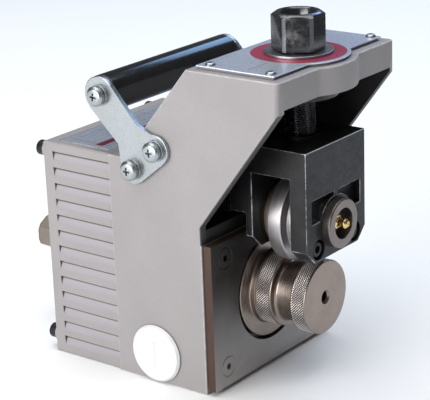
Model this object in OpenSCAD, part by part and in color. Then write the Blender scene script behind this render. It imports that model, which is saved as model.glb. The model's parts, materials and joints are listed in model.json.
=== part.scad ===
// Portable roll groover: a C-shaped housing carries a knurled drive roll below
// and a screw-fed slide block with a groove roll above it.
// A planetary reduction in the ribbed rear cover joins the hex input to the drive roll.
// Front is -Y, right is +X, up is +Z. The origin is the centre of the housing's underside.
// Inside placed(), Y is counted from the housing's front face.

/* [Housing] */
// Width of the housing across both cheeks
housing_w = 127; // [122:0.5:134]
// Depth of the housing's lower box, front face to rear face
housing_d = 72; // [70:0.5:80]
// Height of the lower box
case_h = 148; // [146:0.5:154]
// Height where the sloped front edge of a cheek starts
knee_h = 112; // [108:0.5:115]
// How far the arm reaches forward of the front face
arm_reach = 60.5; // [58.5:0.5:64]
// Height of the arm's flat top
arm_top = 210.5; // [209:0.5:216]
// Height of the arm's front lip
lip_h = 17; // [13:0.5:18]
// Height of the cheek's nose below the arm's top
nose_h = 19; // [18:0.5:24]
// Thickness of the arm's top wall
arm_wall = 7.5; // [6.5:0.5:9.5]
// Thickness of each cheek
cheek_t = 5.5; // [4:0.5:8]
// Thickness of the lower box's walls
wall_t = 8; // [6.5:0.5:9]
// Thickness of the front wall that holds the front bearing
front_wall = 21; // [20.5:0.5:24]
// Radius of the round bulge that wraps the feed screw at the arm's front
bulge_r = 36.2; // [35:0.2:39]
// Radius of the hollow curve where the bulge runs into the arm's front
bulge_flare_r = 8; // [4:0.5:10]
// Radius of the arm's upright front corners
corner_r = 3.5; // [2.5:0.5:7]
// Distance back from the front face to where the top meets the rear slope
arm_rear = 7; // [4:0.5:9]
// Flat step between the rear slope and the housing's rear face
rear_step = 13; // [8:0.5:16]

/* [Front plate] */
// Thickness of the wear plate on the front face
plate_t = 5.5; // [4.5:0.25:6]
// Thickness of the gasket behind the plate
plate_gasket_t = 1.5; // [0.5:0.25:2]
// Height of the plate's lower edge
plate_bottom = 3; // [1:0.5:6]
// Height of the plate's upper edge
plate_top = 100.5; // [98:0.5:104]
// Clearance round the drive roll's flange
plate_bore_gap = 2.1; // [1:0.1:2.5]
// Distance from the plate's edges to its screws
plate_screw_inset = 14.5; // [11:0.5:16]

/* [Rear cover] */
// Depth of the gear cover
cover_d = 56; // [53:0.5:60]
// Step from the housing's sides in to the cover
cover_inset = 1.3; // [0.5:0.1:2]
// Step from the housing's top down to the cover
cover_drop = 0.2; // [0.1:0.1:2]
// Height of one rib of the ribbed sides
rib_pitch = 10.8; // [9:0.1:11]
// Number of ribs on each side
rib_count = 13; // [6:1:13]
// Depth of the step under each rib
rib_depth = 2.6; // [1:0.1:3]
// Height of the sloped part of each rib
rib_slope = 6.2; // [3:0.1:8]
// Plain band at the cover's rear edge
rear_band = 8; // [4:0.5:10]
// Thickness of the cover gasket
cover_gasket_t = 0.5; // [0.3:0.1:1]
// Inset of the cover's corner bolts from the housing's edges
bolt_inset = 8.5; // [8:0.25:10]
// Height of the round pads under the cover's bolts
bolt_pad_h = 3; // [1:0.5:4]
// Depth of the label recess on top of the cover
label_recess = 1; // [0.6:0.1:1.5]

/* [Drive roll] */
// Height of the drive axis above the underside
drive_z = 55.6; // [54:0.2:58]
// Radius of the knurled drive roll
drive_r = 24; // [22:0.5:25]
// Width of the front knurled band
front_band = 11.1; // [9:0.1:12]
// Width of the groove between the knurled bands
drive_groove_w = 14.8; // [13.5:0.1:16]
// Depth of that groove
drive_groove_depth = 4.5; // [3:0.1:6]
// Distance from the flange's face to the groove, which places the pipe's groove
groove_offset = 15.8; // [14.5:0.1:17]
// Width of the plain collar in front of the flange
collar_w = 3.8; // [2:0.2:6]
// Radius of the pipe stop flange
flange_r = 34.2; // [32:0.2:36]
// Gap between the flange's rear face and the housing
flange_gap = 0.8; // [0.5:0.1:1.2]
// Radius of the tapped centre hole in the roll's front face
centre_hole_r = 3.4; // [2.5:0.1:5]
// Depth of the tapped centre hole
centre_hole_depth = 22; // [12:1:30]
// Radius of the shaft in the front bearing
front_journal_r = 20; // [19:0.5:21]
// Radius of the shaft in the rear bearing
rear_journal_r = 17.5; // [17:0.5:18.5]
// Radius of the shaft's seat for the planet carrier
carrier_seat_r = 15; // [14:0.5:15.5]

/* [Bearings] */
// Outer radius of the front bearing
front_bearing_r = 34; // [32:0.5:35]
// Width of the front bearing
front_bearing_w = 15; // [12:0.5:16]
// Outer radius of the rear bearing
rear_bearing_r = 31; // [29:0.5:32]
// Width of the rear bearing
rear_bearing_w = 14; // [11:0.5:15]
// Outer radius of the input bearing
input_bearing_r = 23.5; // [22:0.5:25]
// Width of the input bearing
input_bearing_w = 14; // [12:0.5:15]
// Width of the shaft seals' lips
seal_w = 2.4; // [1.8:0.1:2.6]

/* [Gears] */
// Gear module
gear_module = 1.5; // [1.4:0.02:1.52]
// Teeth on the sun gear
sun_teeth = 15; // [12:3:18]
// Face width of the gears
gear_w = 16; // [12:0.5:17]
// Pressure angle of the teeth
pressure_angle = 25; // [22:0.5:27]
// Thinning of each tooth for running clearance
backlash = 0.16; // [0.1:0.02:0.24]
// Radius of the planet pins
planet_pin_r = 5; // [4:0.25:5.5]
// Thickness of the planet carrier
carrier_t = 10; // [8:0.5:10.5]

/* [Input shaft] */
// Width across the flats of the hex end
input_hex_af = 22; // [21:0.5:24]
// How far the hex end stands out of the rear cover
input_reach = 60.5; // [50:0.5:70]
// Radius of the input shaft's journal
input_r = 10; // [9:0.25:10.25]
// Radius of the pilot that runs in the drive shaft
pilot_r = 6; // [5:0.25:6.5]

/* [Slide block] */
// Width of the slide block
slide_w = 65.6; // [62:0.2:70]
// Distance from the front face to the slide block's front
slide_front = 57.5; // [56.5:0.5:58.5]
// Height of the slide block's top at its lowest position
slide_top = 160; // [157:0.5:162]
// Height of the slide block's lowest edge
slide_bottom = 87.8; // [86:0.2:89]
// Height of the shoulder under the block's guided part
slide_shoulder = 115; // [114:0.5:116]
// Thickness of the front leg that holds the groove roll
front_leg = 12.2; // [10.5:0.2:13]
// Width of the slot that holds the groove roll
slot_w = 28.4; // [27:0.2:30]
// Thickness of the rear leg
rear_leg = 5; // [4:0.2:6]
// Thickness of the block above the groove roll
slide_roof = 18; // [16:0.5:19]
// Depth of the cast pockets in the front leg
pocket_depth = 4.5; // [2.5:0.25:5]
// Depth of the bottom corner chamfers
leg_chamfer = 8.5; // [5:0.5:9]
// Travel of the slide block
slide_travel = 24; // [12:0.5:25]
// Distance from the front face back to the guide face
guide_y = 14; // [13.5:0.25:16]
// Width of the guide column
guide_w = 60; // [58:1:64]
// Width of the slide's neck between the gibs
neck_w = 26; // [22:0.5:28]
// Width of the slide's guided flange behind the gibs
guide_flange_w = 44; // [41:0.5:45]
// Thickness of that flange
guide_flange_t = 5; // [4:0.25:6]

/* [Groove roll] */
// Height of the groove roll's axis at its lowest position
groove_z = 107.8; // [107:0.2:109]
// Outer radius of the groove roll
groove_r = 29; // [28:0.2:29.4]
// Width of the groove roll's rim
groove_rim_w = 10.6; // [8:0.2:12]
// Radius of the groove roll's hub
groove_hub_r = 22.5; // [21.5:0.25:24]
// Radius of the shaft in the front leg
shaft_r = 15.9; // [15.4:0.1:16.4]
// Radius of the shaft in the groove roll
journal_r = 14; // [13:0.1:14.4]
// Radius of the shaft in the rear leg
rear_pin_r = 10; // [8:0.25:11]
// How far the shaft's end stands out of the front leg
shaft_proud = 5.5; // [3:0.25:7]
// Radius of the recess for the grease fitting
fitting_recess_r = 9.8; // [8.5:0.1:10.5]
// Wall of the bush in the groove roll
bush_wall = 3; // [2:0.25:4]

/* [Feed screw] */
// Distance from the front face forward to the feed screw's axis
feed_reach = 31.4; // [30.6:0.2:32]
// Outer radius of the feed screw's thread
thread_r = 10; // [9.5:0.1:10.4]
// Pitch of the feed screw
thread_pitch = 1.5; // [1.5:0.25:2]
// Radius of the screw's journal in the slide block
feed_journal_r = 8; // [7:0.25:8.25]
// Width across the flats of the feed screw's head
feed_hex_af = 30; // [28:0.5:32]
// Turn of the feed screw's head at its lowest position
feed_hex_turn = 3; // [0:1:59]
// Height of the feed screw's head
feed_hex_h = 22.5; // [18:0.5:26]
// Radius of the recess in the top of the head
feed_bore_r = 10.5; // [8:0.25:11]
// Depth of that recess
feed_bore_depth = 14; // [8:0.5:18]
// Outer radius of the nut's sleeve in the arm
nut_r = 16; // [14:0.25:16.5]
// Radius of the nut's flange on top of the arm
nut_flange_r = 21.6; // [20:0.2:24]
// Thickness of the nut's flange
nut_flange_t = 1.7; // [1.2:0.1:2.4]
// Radius of the boss under the arm
boss_r = 24.5; // [20.5:0.25:26]
// Gap between the head and the nut at the lowest position
feed_stop_gap = 1; // [0.6:0.1:1.5]

/* [Handle] */
// Radius of the handle grip
grip_r = 12.2; // [11:0.2:14]
// Radius of the rod inside the grip
rod_r = 8.5; // [7:0.25:9]
// Distance from the front face back to the handle
handle_y = 73.5; // [70:0.5:78]
// Height of the handle
handle_z = 186.8; // [182:0.2:196]
// Thickness of the handle brackets
bracket_t = 3; // [2:0.25:4]
// Radius of the bracket's end round the handle
bracket_end_r = 12; // [10:0.5:14]
// Radius of the bracket's foot round each screw
bracket_foot_r = 9.8; // [9:0.2:11]
// Distance back to the bracket's front screw
foot_front_y = 30.7; // [29:0.1:32]
// Height of the bracket's front screw
foot_front_z = 157.3; // [155:0.1:159]
// Distance back to the bracket's rear screw
foot_rear_y = 49.4; // [47:0.1:51]
// Height of the bracket's rear screw
foot_rear_z = 142.5; // [142:0.1:144]

/* [Trim] */
// Radius of the side plug's cap
plug_r = 19.3; // [17:0.1:20]
// Thickness of the side plug's cap
plug_cap_t = 2.7; // [1.5:0.1:4]
// Distance back to the side plug's centre
plug_y = 39.2; // [37:0.2:42]
// Height of the side plug's centre
plug_z = 19.8; // [19.5:0.1:22]
// Thickness of the dial plate and the cover's label
label_t = 0.8; // [0.5:0.1:1]
// Radius of the dial plate's round front
dial_r = 32; // [31:0.5:34]
// Height of the raised pad that carries the dial plate
dial_pad_h = 1.5; // [0.5:0.25:2]

/* [Fasteners] */
// Shank radius of the case screws
screw_r = 3; // [2.5:0.1:3.2]
// Head radius of the socket cap screws
cap_head_r = 5; // [4.5:0.1:5.5]
// Head height of the socket cap screws
cap_head_h = 6; // [4:0.5:7]
// Head radius of the plate's countersunk screws
csk_head_r = 7; // [6:0.1:7.5]
// Head radius of the handle's pan head screws
pan_head_r = 6.4; // [5.5:0.1:6.8]
// Head height of the handle's pan head screws
pan_head_h = 3.6; // [2.5:0.1:4.5]
// Thickness of the flat washers
flat_washer_t = 1.2; // [0.8:0.1:2]
// Thickness of the lock washers
lock_washer_t = 1.6; // [1:0.1:2.4]
// Shank radius of the dial plate's screws
small_screw_r = 1.5; // [1.2:0.1:1.8]

/* [Fits] */
// Radial clearance of a running fit
run_gap = 0.05; // [0.02:0.01:0.09]
// Radial clearance of a fixed fit
seat_gap = 0.03; // [0.02:0.01:0.06]
// Clearance of the flat guide faces
guide_gap = 0.2; // [0.1:0.05:0.3]
// Axial clearance between turning faces
face_gap = 0.4; // [0.3:0.05:0.5]
// Radial clearance of through holes round screws
hole_gap = 0.4; // [0.2:0.05:0.6]

/* [Hidden] */
$fn = 72;
over = 1;
snap_slack = 0.05;
snap_depth = 1;
roll_edge = 0.6;
weld = 0.02;
half_w = housing_w / 2;
inner_half_w = half_w - cheek_t;
box_half_w = half_w - wall_t;
lip_z = arm_top - lip_h;
nose_z = arm_top - nose_h;
ceiling_z = arm_top - arm_wall;
dial_seat_z = arm_top + dial_pad_h;
slope_y = housing_d - rear_step;
slope_run = slope_y - arm_rear;
slope_rise = arm_top - case_h;
slope_wall_drop = 9;
lip_t = 6;
ledge_drop = 3;
ledge_z = knee_h - ledge_drop;
pocket_d = 12;
pocket_rear_y = guide_y + pocket_d;
boss_wall = 8;
upper_cavity_y = pocket_rear_y + wall_t;
cavity_drop = 9;
cavity_top = foot_rear_z - cavity_drop;

// Drive line, front to rear
drive_flange_y1 = -flange_gap;
plate_y1 = -plate_gasket_t;
plate_y0 = plate_y1 - plate_t;
flange_recess = 0.2;
flange_y0 = plate_y0 + flange_recess;
groove_y1 = flange_y0 - groove_offset;
groove_y0 = groove_y1 - drive_groove_w;
roll_y0 = groove_y0 - front_band;
drive_groove_r = drive_r - drive_groove_depth;
collar_y0 = flange_y0 - collar_w;
collar_step = 0.6;
collar_r = drive_r + collar_step;
seal_y0 = 0.3;
seal_gap = 0.1;
front_bearing_y0 = seal_y0 + seal_w + seal_gap;
front_bearing_y1 = front_bearing_y0 + front_bearing_w;
rear_bearing_inset = 14;
rear_bearing_y1 = housing_d - rear_bearing_inset;
rear_bearing_y0 = rear_bearing_y1 - rear_bearing_w;
gear_front_gap = 1.5;
gear_y0 = housing_d + cover_gasket_t + gear_front_gap;
gear_y1 = gear_y0 + gear_w;
carrier_gap = 1.8;
carrier_y1 = gear_y0 - carrier_gap;
carrier_y0 = carrier_y1 - carrier_t;
carrier_ring_t = 1;
shaft_end_y = gear_y0 - face_gap;
shaft_mid_r = (front_journal_r + rear_journal_r) / 2;
pilot_y0 = rear_bearing_y0;

// Gear sizes; an odd tooth count puts a planet's tooth towards the ring and a gap towards the sun
planet_teeth = 15;
ring_teeth = sun_teeth + 2 * planet_teeth;
gear_orbit = gear_module * (sun_teeth + planet_teeth) / 2;
planet_tip_r = gear_module * (planet_teeth / 2 + 1);
ring_root_r = gear_module * (ring_teeth / 2 + 1.25);
ring_wall = 6;
ring_r = ring_root_r + ring_wall;
carrier_wall = 6;
carrier_r = gear_orbit + planet_pin_r + carrier_wall;
carrier_room_gap = 3;
carrier_room_r = carrier_r + carrier_room_gap;
planet_count = 3;
planet_angles = [for (i = [0 : planet_count - 1]) 90 + i * 360 / planet_count];
pin_inset = 1;
pin_y0 = carrier_y0 + pin_inset;
clip_t = 1;
clip_gap = 0.3;
clip_y0 = gear_y1 + clip_gap;
pin_tail = 1;
pin_y1 = clip_y0 + clip_t + pin_tail;
key_w = 5;
key_depth = 3;
key_rise = 2.3;
key_top = drive_z + carrier_seat_r + key_rise;
key_bottom = drive_z + carrier_seat_r - key_depth;
key_end_gap = 0.2;

// Cover, front to rear
cover_half_w = half_w - cover_inset;
cover_top = case_h - cover_drop;
rib_drop = 6.1;
rib_top_z = cover_top - rib_drop;
cover_y0 = housing_d + cover_gasket_t;
cover_y1 = cover_y0 + cover_d;
cover_wall = 7;
shell_wall = 6;
gear_shell_r = ring_r + shell_wall;
pin_end_gap = 0.5;
input_collar_y0 = pin_y1 + pin_end_gap;
input_collar_w = 3;
input_bearing_y0 = input_collar_y0 + input_collar_w;
input_bearing_y1 = input_bearing_y0 + input_bearing_w;
input_ring_t = 1.2;
input_ring_gap = 0.3;
input_ring_y0 = input_bearing_y1 + input_ring_gap;
input_ring_y1 = input_ring_y0 + input_ring_t + 2 * snap_slack;
input_shoulder_step = 3;
input_shoulder_r = input_r + input_shoulder_step;
input_seal_w = 3 * seal_w;
input_seal_inset = 1.5;
input_seal_y1 = cover_y1 - input_seal_inset;
input_seal_y0 = input_seal_y1 - input_seal_w;
input_seal_wall = 7.5;
input_seal_r = input_r + input_seal_wall;
input_room_step = 4.5;
input_room_r = input_bearing_r - input_room_step;
hex_front_gap = 1.5;
hex_y0 = cover_y1 + hex_front_gap;
hex_y1 = cover_y1 + input_reach;
bolt_x = half_w - bolt_inset;
bolt_foot_rise = 2;
bolt_top_rise = 1;
bolt_z = [bolt_inset + bolt_foot_rise, case_h - bolt_inset + bolt_top_rise];
bolt_depth = 14;
bolt_boss_wall = 5;
bolt_boss_r = screw_r + bolt_boss_wall;
bolt_pad_rim = 1;
bolt_pad_r = cap_head_r + bolt_pad_rim;
bolt_seat_y = cover_y1 + bolt_pad_h;
label_side_inset = 7;
label_x = cover_half_w - label_side_inset;
label_front_inset = 6;
label_y0 = cover_y0 + label_front_inset;
label_y1 = cover_y1 - rear_band;
label_margin = 0.5;

// Plate screws
plate_side_inset = 0.5;
plate_half_w = half_w - plate_side_inset;
plate_screw_x = plate_half_w - plate_screw_inset;
plate_screw_drop = 1.5;
plate_screw_rise = 3;
plate_screw_z = [plate_bottom + plate_screw_inset - plate_screw_drop,
  plate_top - plate_screw_inset + plate_screw_rise];
plate_screw_depth = 12;
csk_h = csk_head_r - screw_r;
csk_sink = 0.1;
csk_gap = csk_sink + seat_gap;
csk_socket_r = 2.3;
csk_socket_depth = 2.6;

// Slide block
slide_half_w = slide_w / 2;
slide_y0 = -slide_front;
slot_y0 = slide_y0 + front_leg;
slot_y1 = slot_y0 + slot_w;
groove_mid_y = (groove_y0 + groove_y1) / 2;
rear_leg_y1 = slot_y1 + rear_leg;
rear_leg_rise = 4;
rear_leg_bottom = slide_bottom + rear_leg_rise;
slot_top = slide_top - slide_roof;
neck_margin = 2;
neck_z0 = slide_shoulder + neck_margin;
neck_z1 = slide_top - neck_margin;
body_y1 = 0;
flange_back_y = guide_y - guide_gap;
flange_front_y = flange_back_y - guide_flange_t;
boss_ring_wall = 2.2;
boss_ring_r = shaft_r + boss_ring_wall;
pocket_rise = 20.6;
pocket_low_rise = 5.6;
pocket_top = groove_z + pocket_rise;
pocket_bottom = groove_z + pocket_low_rise;
pocket_side_wall = 5.8;
pocket_half_w = slide_half_w - pocket_side_wall;
pocket_rib = 2.2;
lock_x = 20.2;
lock_drop = 12.2;
lock_z = groove_z - lock_drop;
lock_pocket_gap = 1.6;
lock_pocket_r = cap_head_r + lock_pocket_gap;
lock_pocket_depth = 6;
lock_depth = 4.5;
lock_head_sink = 1;
lock_head_h = lock_pocket_depth - lock_head_sink;
fitting_recess_depth = 9;

// Grease fitting
fitting_h = 12;
fitting_hex_r = 4.6;
fitting_hex_h = 4.5;
fitting_ball_r = 3.2;
fitting_neck_r = 2.2;
fitting_thread_r = 2.4;
fitting_thread_l = 6;
fitting_hole_r = 0.6;
grease_way_r = 1.5;

// Gibs
gib_gap = 0.3;
gib_head_r = 3.2;
gib_head_h = 2.4;
gib_x0 = neck_w / 2 + gib_gap;
gib_side_gap = 0.5;
gib_x1 = guide_w / 2 - gib_side_gap;
gib_head_gap = 1;
gib_y0 = body_y1 + gib_head_h + gib_head_gap;
gib_lip_y1 = flange_front_y - guide_gap;
gib_leg_x = guide_flange_w / 2 + gib_gap;
gib_foot_rise = 3;
gib_z0 = ledge_z + gib_foot_rise;
gib_top_drop = 12;
gib_z1 = ceiling_z - gib_top_drop;
gib_screw_x = (gib_leg_x + gib_x1) / 2;
gib_screw_r = 2;
gib_screw_inset = 10;
gib_screw_z = [gib_z0 + gib_screw_inset, (gib_z0 + gib_z1) / 2, gib_z1 - gib_screw_inset];
gib_screw_depth = 10;

// Groove roll
washer_t = 1.2;
hub_gap = 0.5;
hub_y0 = slot_y0 + washer_t + hub_gap;
hub_y1 = slot_y1 - washer_t - hub_gap;
bush_r = journal_r + run_gap + bush_wall;
rim_y0 = groove_mid_y - groove_rim_w / 2;
rim_y1 = groove_mid_y + groove_rim_w / 2;

// Feed screw
feed_y = -feed_reach;
feed_washer_t = 2;
boss_gap = 1;
boss_z = slide_top + feed_washer_t + slide_travel + boss_gap;
nut_seat_z = dial_seat_z + label_t;
nut_top_z = nut_seat_z + nut_flange_t;
feed_hex_z = nut_top_z + feed_stop_gap;
feed_washer_rim = 2.5;
feed_washer_r = thread_r + feed_washer_rim;
thread_z0 = slide_top + feed_washer_t + face_gap;
keeper_room_gap = 5.5;
keeper_room_r = feed_journal_r + keeper_room_gap;
keeper_room_h = 5.4;
keeper_washer_t = 1.6;
keeper_ring_t = 1.2;
keeper_gap = 0.3;
keeper_washer_z = slot_top + keeper_room_h - keeper_washer_t - keeper_gap;
keeper_ring_z = keeper_washer_z - keeper_ring_t - keeper_gap;
thread_depth = 0.6 * thread_pitch;
thread_runout = 2;
thread_turns = floor((feed_hex_z - thread_runout - thread_z0) / thread_pitch);

// Handle and brackets
bracket_x0 = half_w;
bracket_x1 = bracket_x0 + bracket_t;
lock_washer_x = bracket_x1 + flat_washer_t;
pan_x = lock_washer_x + lock_washer_t;
waist_shift = 0.6;
waist_y = foot_rear_y + waist_shift;
waist_rise = 5;
waist_z = foot_front_z + waist_rise;
waist_swell = 0.6;
waist_r = bracket_foot_r + waist_swell;
bracket_screw_depth = 10;
pan_screw_l = pan_x - half_w + bracket_screw_depth;
bracket_points = [[foot_front_y, foot_front_z], [foot_rear_y, foot_rear_z]];
handle_point = [handle_y, handle_z];

// Dial plate
dial_side_inset = 5.5;
dial_front_inset = 6.5;
dial_rear_inset = 4;
dial_screw_side = 4;
dial_screw_front = 5;
dial_screw_rear = 8;
dial_half_w = half_w - dial_side_inset;
dial_y0 = -arm_reach + dial_front_inset;
dial_y1 = arm_rear - dial_rear_inset;
dial_screw_x = dial_half_w - dial_screw_side;
dial_screw_y = [dial_y0 + dial_screw_front, dial_y1 - dial_screw_rear];
small_head_r = 3.3;
small_head_h = 2;
small_screw_depth = 6;
dial_pad_inset = 1.5;

// Arm
flare_root = 2;
throat_run_out = 20;

// Side plug
plug_lip = 4.3;
plug_body_r = plug_r - plug_lip;
plug_wall = 2.5;
plug_edge = 0.8;

// Moves a piece from the housing's front face to the origin under the housing
module placed() {
  translate([0, -housing_d / 2, 0]) children();
}

// Round bar along X
module rod_x(r, x0, x1, y, z) {
  translate([x0, y, z]) rotate([0, 90, 0]) cylinder(r = r, h = x1 - x0);
}

// Round bar along Y
module rod_y(r, y0, y1, x = 0, z = 0) {
  translate([x, y0, z]) rotate([-90, 0, 0]) cylinder(r = r, h = y1 - y0);
}

// Cone along Y
module cone_y(r0, r1, y0, y1, x = 0, z = 0) {
  translate([x, y0, z]) rotate([-90, 0, 0]) cylinder(r1 = r0, r2 = r1, h = y1 - y0);
}

// Round bar along Z
module rod_z(r, z0, z1, x = 0, y = 0) {
  translate([x, y, z0]) cylinder(r = r, h = z1 - z0);
}

// Plain block between two corners
module bar(x0, x1, y0, y1, z0, z1) {
  translate([x0, y0, z0]) cube([x1 - x0, y1 - y0, z1 - z0]);
}

// Outline in Y and Z, drawn out along X
module across_x(x0, x1) {
  translate([x0, 0, 0]) rotate([90, 0, 90]) linear_extrude(x1 - x0) children();
}

// Outline in X and Z, drawn out along Y
module across_y(y0, y1) {
  translate([0, y1, 0]) rotate([90, 0, 0]) linear_extrude(y1 - y0) children();
}

// Outline of radius and Y, turned about an axis along Y
module turned_y(z) {
  translate([0, 0, z]) rotate([-90, 0, 0]) rotate_extrude() children();
}

// Copies a piece to the other side of the machine
module both_sides() {
  children();
  mirror([1, 0, 0]) children();
}

// Plate along X with two round ends; its straight sides sink in by the weld
module link_x(x0, x1, a, ra, b, rb) {
  d = b - a;
  along = atan2(d[1], d[0]);
  lean = acos((ra - rb) / norm(d));
  sides = [along + lean, along - lean];
  rod_x(ra, x0, x1, a[0], a[1]);
  rod_x(rb, x0, x1, b[0], b[1]);
  across_x(x0, x1) polygon([a + polar(ra - weld, sides[0]), b + polar(rb - weld, sides[0]),
    b + polar(rb - weld, sides[1]), a + polar(ra - weld, sides[1])]);
}

// Flat ring about an axis along Y
module ring_y(r_in, r_out, y0, y1, x = 0, z = 0) {
  translate([x, 0, z]) turned_y(0) polygon([[r_in, y0], [r_out, y0], [r_out, y1], [r_in, y1]]);
}

// Shielded bearing about the drive axis, turning surface inside
module bearing(r_in, r_out, y0, w) {
  edge = 0.28 * (r_out - r_in);
  dip = 0.6;
  turned_y(drive_z) polygon([
    [r_in, y0], [r_in + edge, y0], [r_in + edge, y0 + dip],
    [r_out - edge, y0 + dip], [r_out - edge, y0], [r_out, y0],
    [r_out, y0 + w], [r_out - edge, y0 + w], [r_out - edge, y0 + w - dip],
    [r_in + edge, y0 + w - dip], [r_in + edge, y0 + w], [r_in, y0 + w]
  ]);
}

// Involute tooth flank: half angle of a tooth at radius r
function involute(a) = tan(a) * 180 / PI - a;
function half_tooth(teeth, r, thin) =
  let (rp = gear_module * teeth / 2, rb = rp * cos(pressure_angle), a = acos(min(1, rb / max(r, rb))))
  90 / teeth - thin * 90 / PI / rp + involute(pressure_angle) - involute(a);
function polar(r, a) = [r * cos(a), r * sin(a)];

// Outline of a gear whose first tooth points along the first axis
module gear_outline(teeth, inner, outer, thin) {
  steps = 6;
  radii = [for (i = [0 : steps]) inner + (outer - inner) * i / steps];
  polygon([for (t = [0 : teeth - 1]) each concat(
    [for (r = radii) polar(r, t * 360 / teeth - half_tooth(teeth, r, thin))],
    [for (i = [steps : -1 : 0]) polar(radii[i], t * 360 / teeth + half_tooth(teeth, radii[i], thin))])]);
}

module outer_gear(teeth) {
  gear_outline(teeth, gear_module * (teeth / 2 - 1.25), gear_module * (teeth / 2 + 1), backlash / 2);
}

// Socket cap screw along Y with its head's face towards -Y when dir is -1
module cap_screw(x, z, y, depth, dir, shank_r, head_r, head_h) {
  translate([x, y, z]) rotate([-90 * dir, 0, 0]) difference() {
    union() {
      translate([0, 0, -depth]) cylinder(r = shank_r, h = depth);
      cylinder(r = head_r, h = head_h - 0.5);
      translate([0, 0, head_h - 0.5]) cylinder(r1 = head_r, r2 = head_r - 0.5, h = 0.5);
    }
    translate([0, 0, head_h * 0.45]) cylinder(r = shank_r * 0.95, h = head_h, $fn = 6);
  }
}

// Pan head screw along X on the right side, with a cross recess
module pan_screw_x(y, z, x, depth, shank_r, head_r, head_h) {
  slot = head_r * 0.28;
  translate([x, y, z]) rotate([0, 90, 0]) difference() {
    union() {
      translate([0, 0, -depth]) cylinder(r = shank_r, h = depth);
      cylinder(r = head_r, h = head_h * 0.55);
      translate([0, 0, head_h * 0.55]) cylinder(r1 = head_r, r2 = head_r * 0.6, h = head_h * 0.45);
    }
    for (turn = [0, 90]) rotate(turn) translate([-head_r * 0.5, -slot / 2, head_h * 0.5])
      cube([head_r, slot, head_h]);
  }
}

// Side outline of the cheeks and the lower box
module side_outline() {
  polygon([[0, 0], [housing_d, 0], [housing_d, case_h], [slope_y, case_h], [arm_rear, arm_top],
    [-arm_reach, arm_top], [-arm_reach, nose_z], [0, knee_h]]);
}

// Height of the rear slope's inner face above a point in Y
function slope_inner_z(y) = case_h + (slope_y - y) / slope_run * slope_rise - slope_wall_drop;

// Side outline of the open throat between the cheeks
module throat_outline() {
  far = arm_reach + throat_run_out;
  polygon([[-far, ledge_z], [pocket_rear_y, ledge_z], [pocket_rear_y, slope_inner_z(pocket_rear_y)],
    [arm_rear, min(ceiling_z, slope_inner_z(arm_rear))], [-arm_reach + lip_t, ceiling_z],
    [-arm_reach + lip_t, lip_z], [-far, lip_z]]);
}

// Side outline of the guide column inside the throat
module guide_outline() {
  root = pocket_rear_y + 1;
  polygon([[guide_y, ledge_z - over], [root, ledge_z - over], [root, slope_inner_z(root) + 2],
    [guide_y, min(ceiling_z + over, slope_inner_z(guide_y) + 2)]]);
}

// Top outline of the housing with its round front corners
module top_outline() {
  y0 = -arm_reach;
  translate([-half_w, y0 + corner_r]) square([housing_w, arm_reach - corner_r + housing_d]);
  translate([-half_w + corner_r, y0]) square([housing_w - 2 * corner_r, corner_r + over]);
  for (s = [-1, 1]) translate([s * (half_w - corner_r), y0 + corner_r]) circle(corner_r);
}

// Hollow of the lower box, left solid round the bearings and the cover's bolts
module box_cavity() {
  y1 = housing_d + over;
  difference() {
    union() {
      bar(-box_half_w, box_half_w, front_wall, y1, wall_t, ledge_z - wall_t);
      bar(-box_half_w, box_half_w, upper_cavity_y, y1, ledge_z - wall_t - over, cavity_top);
    }
    rod_y(front_bearing_r + boss_wall, front_wall - over, y1 + over, 0, drive_z);
    for (x = [-bolt_x, bolt_x], z = bolt_z)
      rod_y(bolt_boss_r, front_wall - over, y1 + over, x, z);
  }
}

// Stepped bore for the bearings and the planet carrier
module drive_bore() {
  rod_y(front_bearing_r + seat_gap, -over, front_bearing_y1, 0, drive_z);
  rod_y(rear_bearing_r - 3, 0, housing_d, 0, drive_z);
  rod_y(rear_bearing_r + seat_gap, rear_bearing_y0, housing_d, 0, drive_z);
  rod_y(carrier_room_r, rear_bearing_y1 + 0.5, housing_d + over, 0, drive_z);
}

// Hollow curve between the bulge and the arm's front; it sinks into both by the weld
module bulge_flare() {
  reach = bulge_r + bulge_flare_r;
  drop = arm_reach + bulge_flare_r + feed_y;
  side = sqrt(reach * reach - drop * drop);
  touch = [side, -drop] * bulge_r / reach + [0, feed_y];
  root = [side, -drop] * (bulge_r - flare_root) / reach + [0, feed_y];
  difference() {
    translate([0, 0, lip_z]) linear_extrude(arm_top - lip_z)
      polygon([touch, [side, -arm_reach], [side, flare_root - arm_reach], root]);
    rod_z(bulge_flare_r + weld, lip_z - over, arm_top + over, side, -arm_reach - bulge_flare_r);
  }
}

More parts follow.
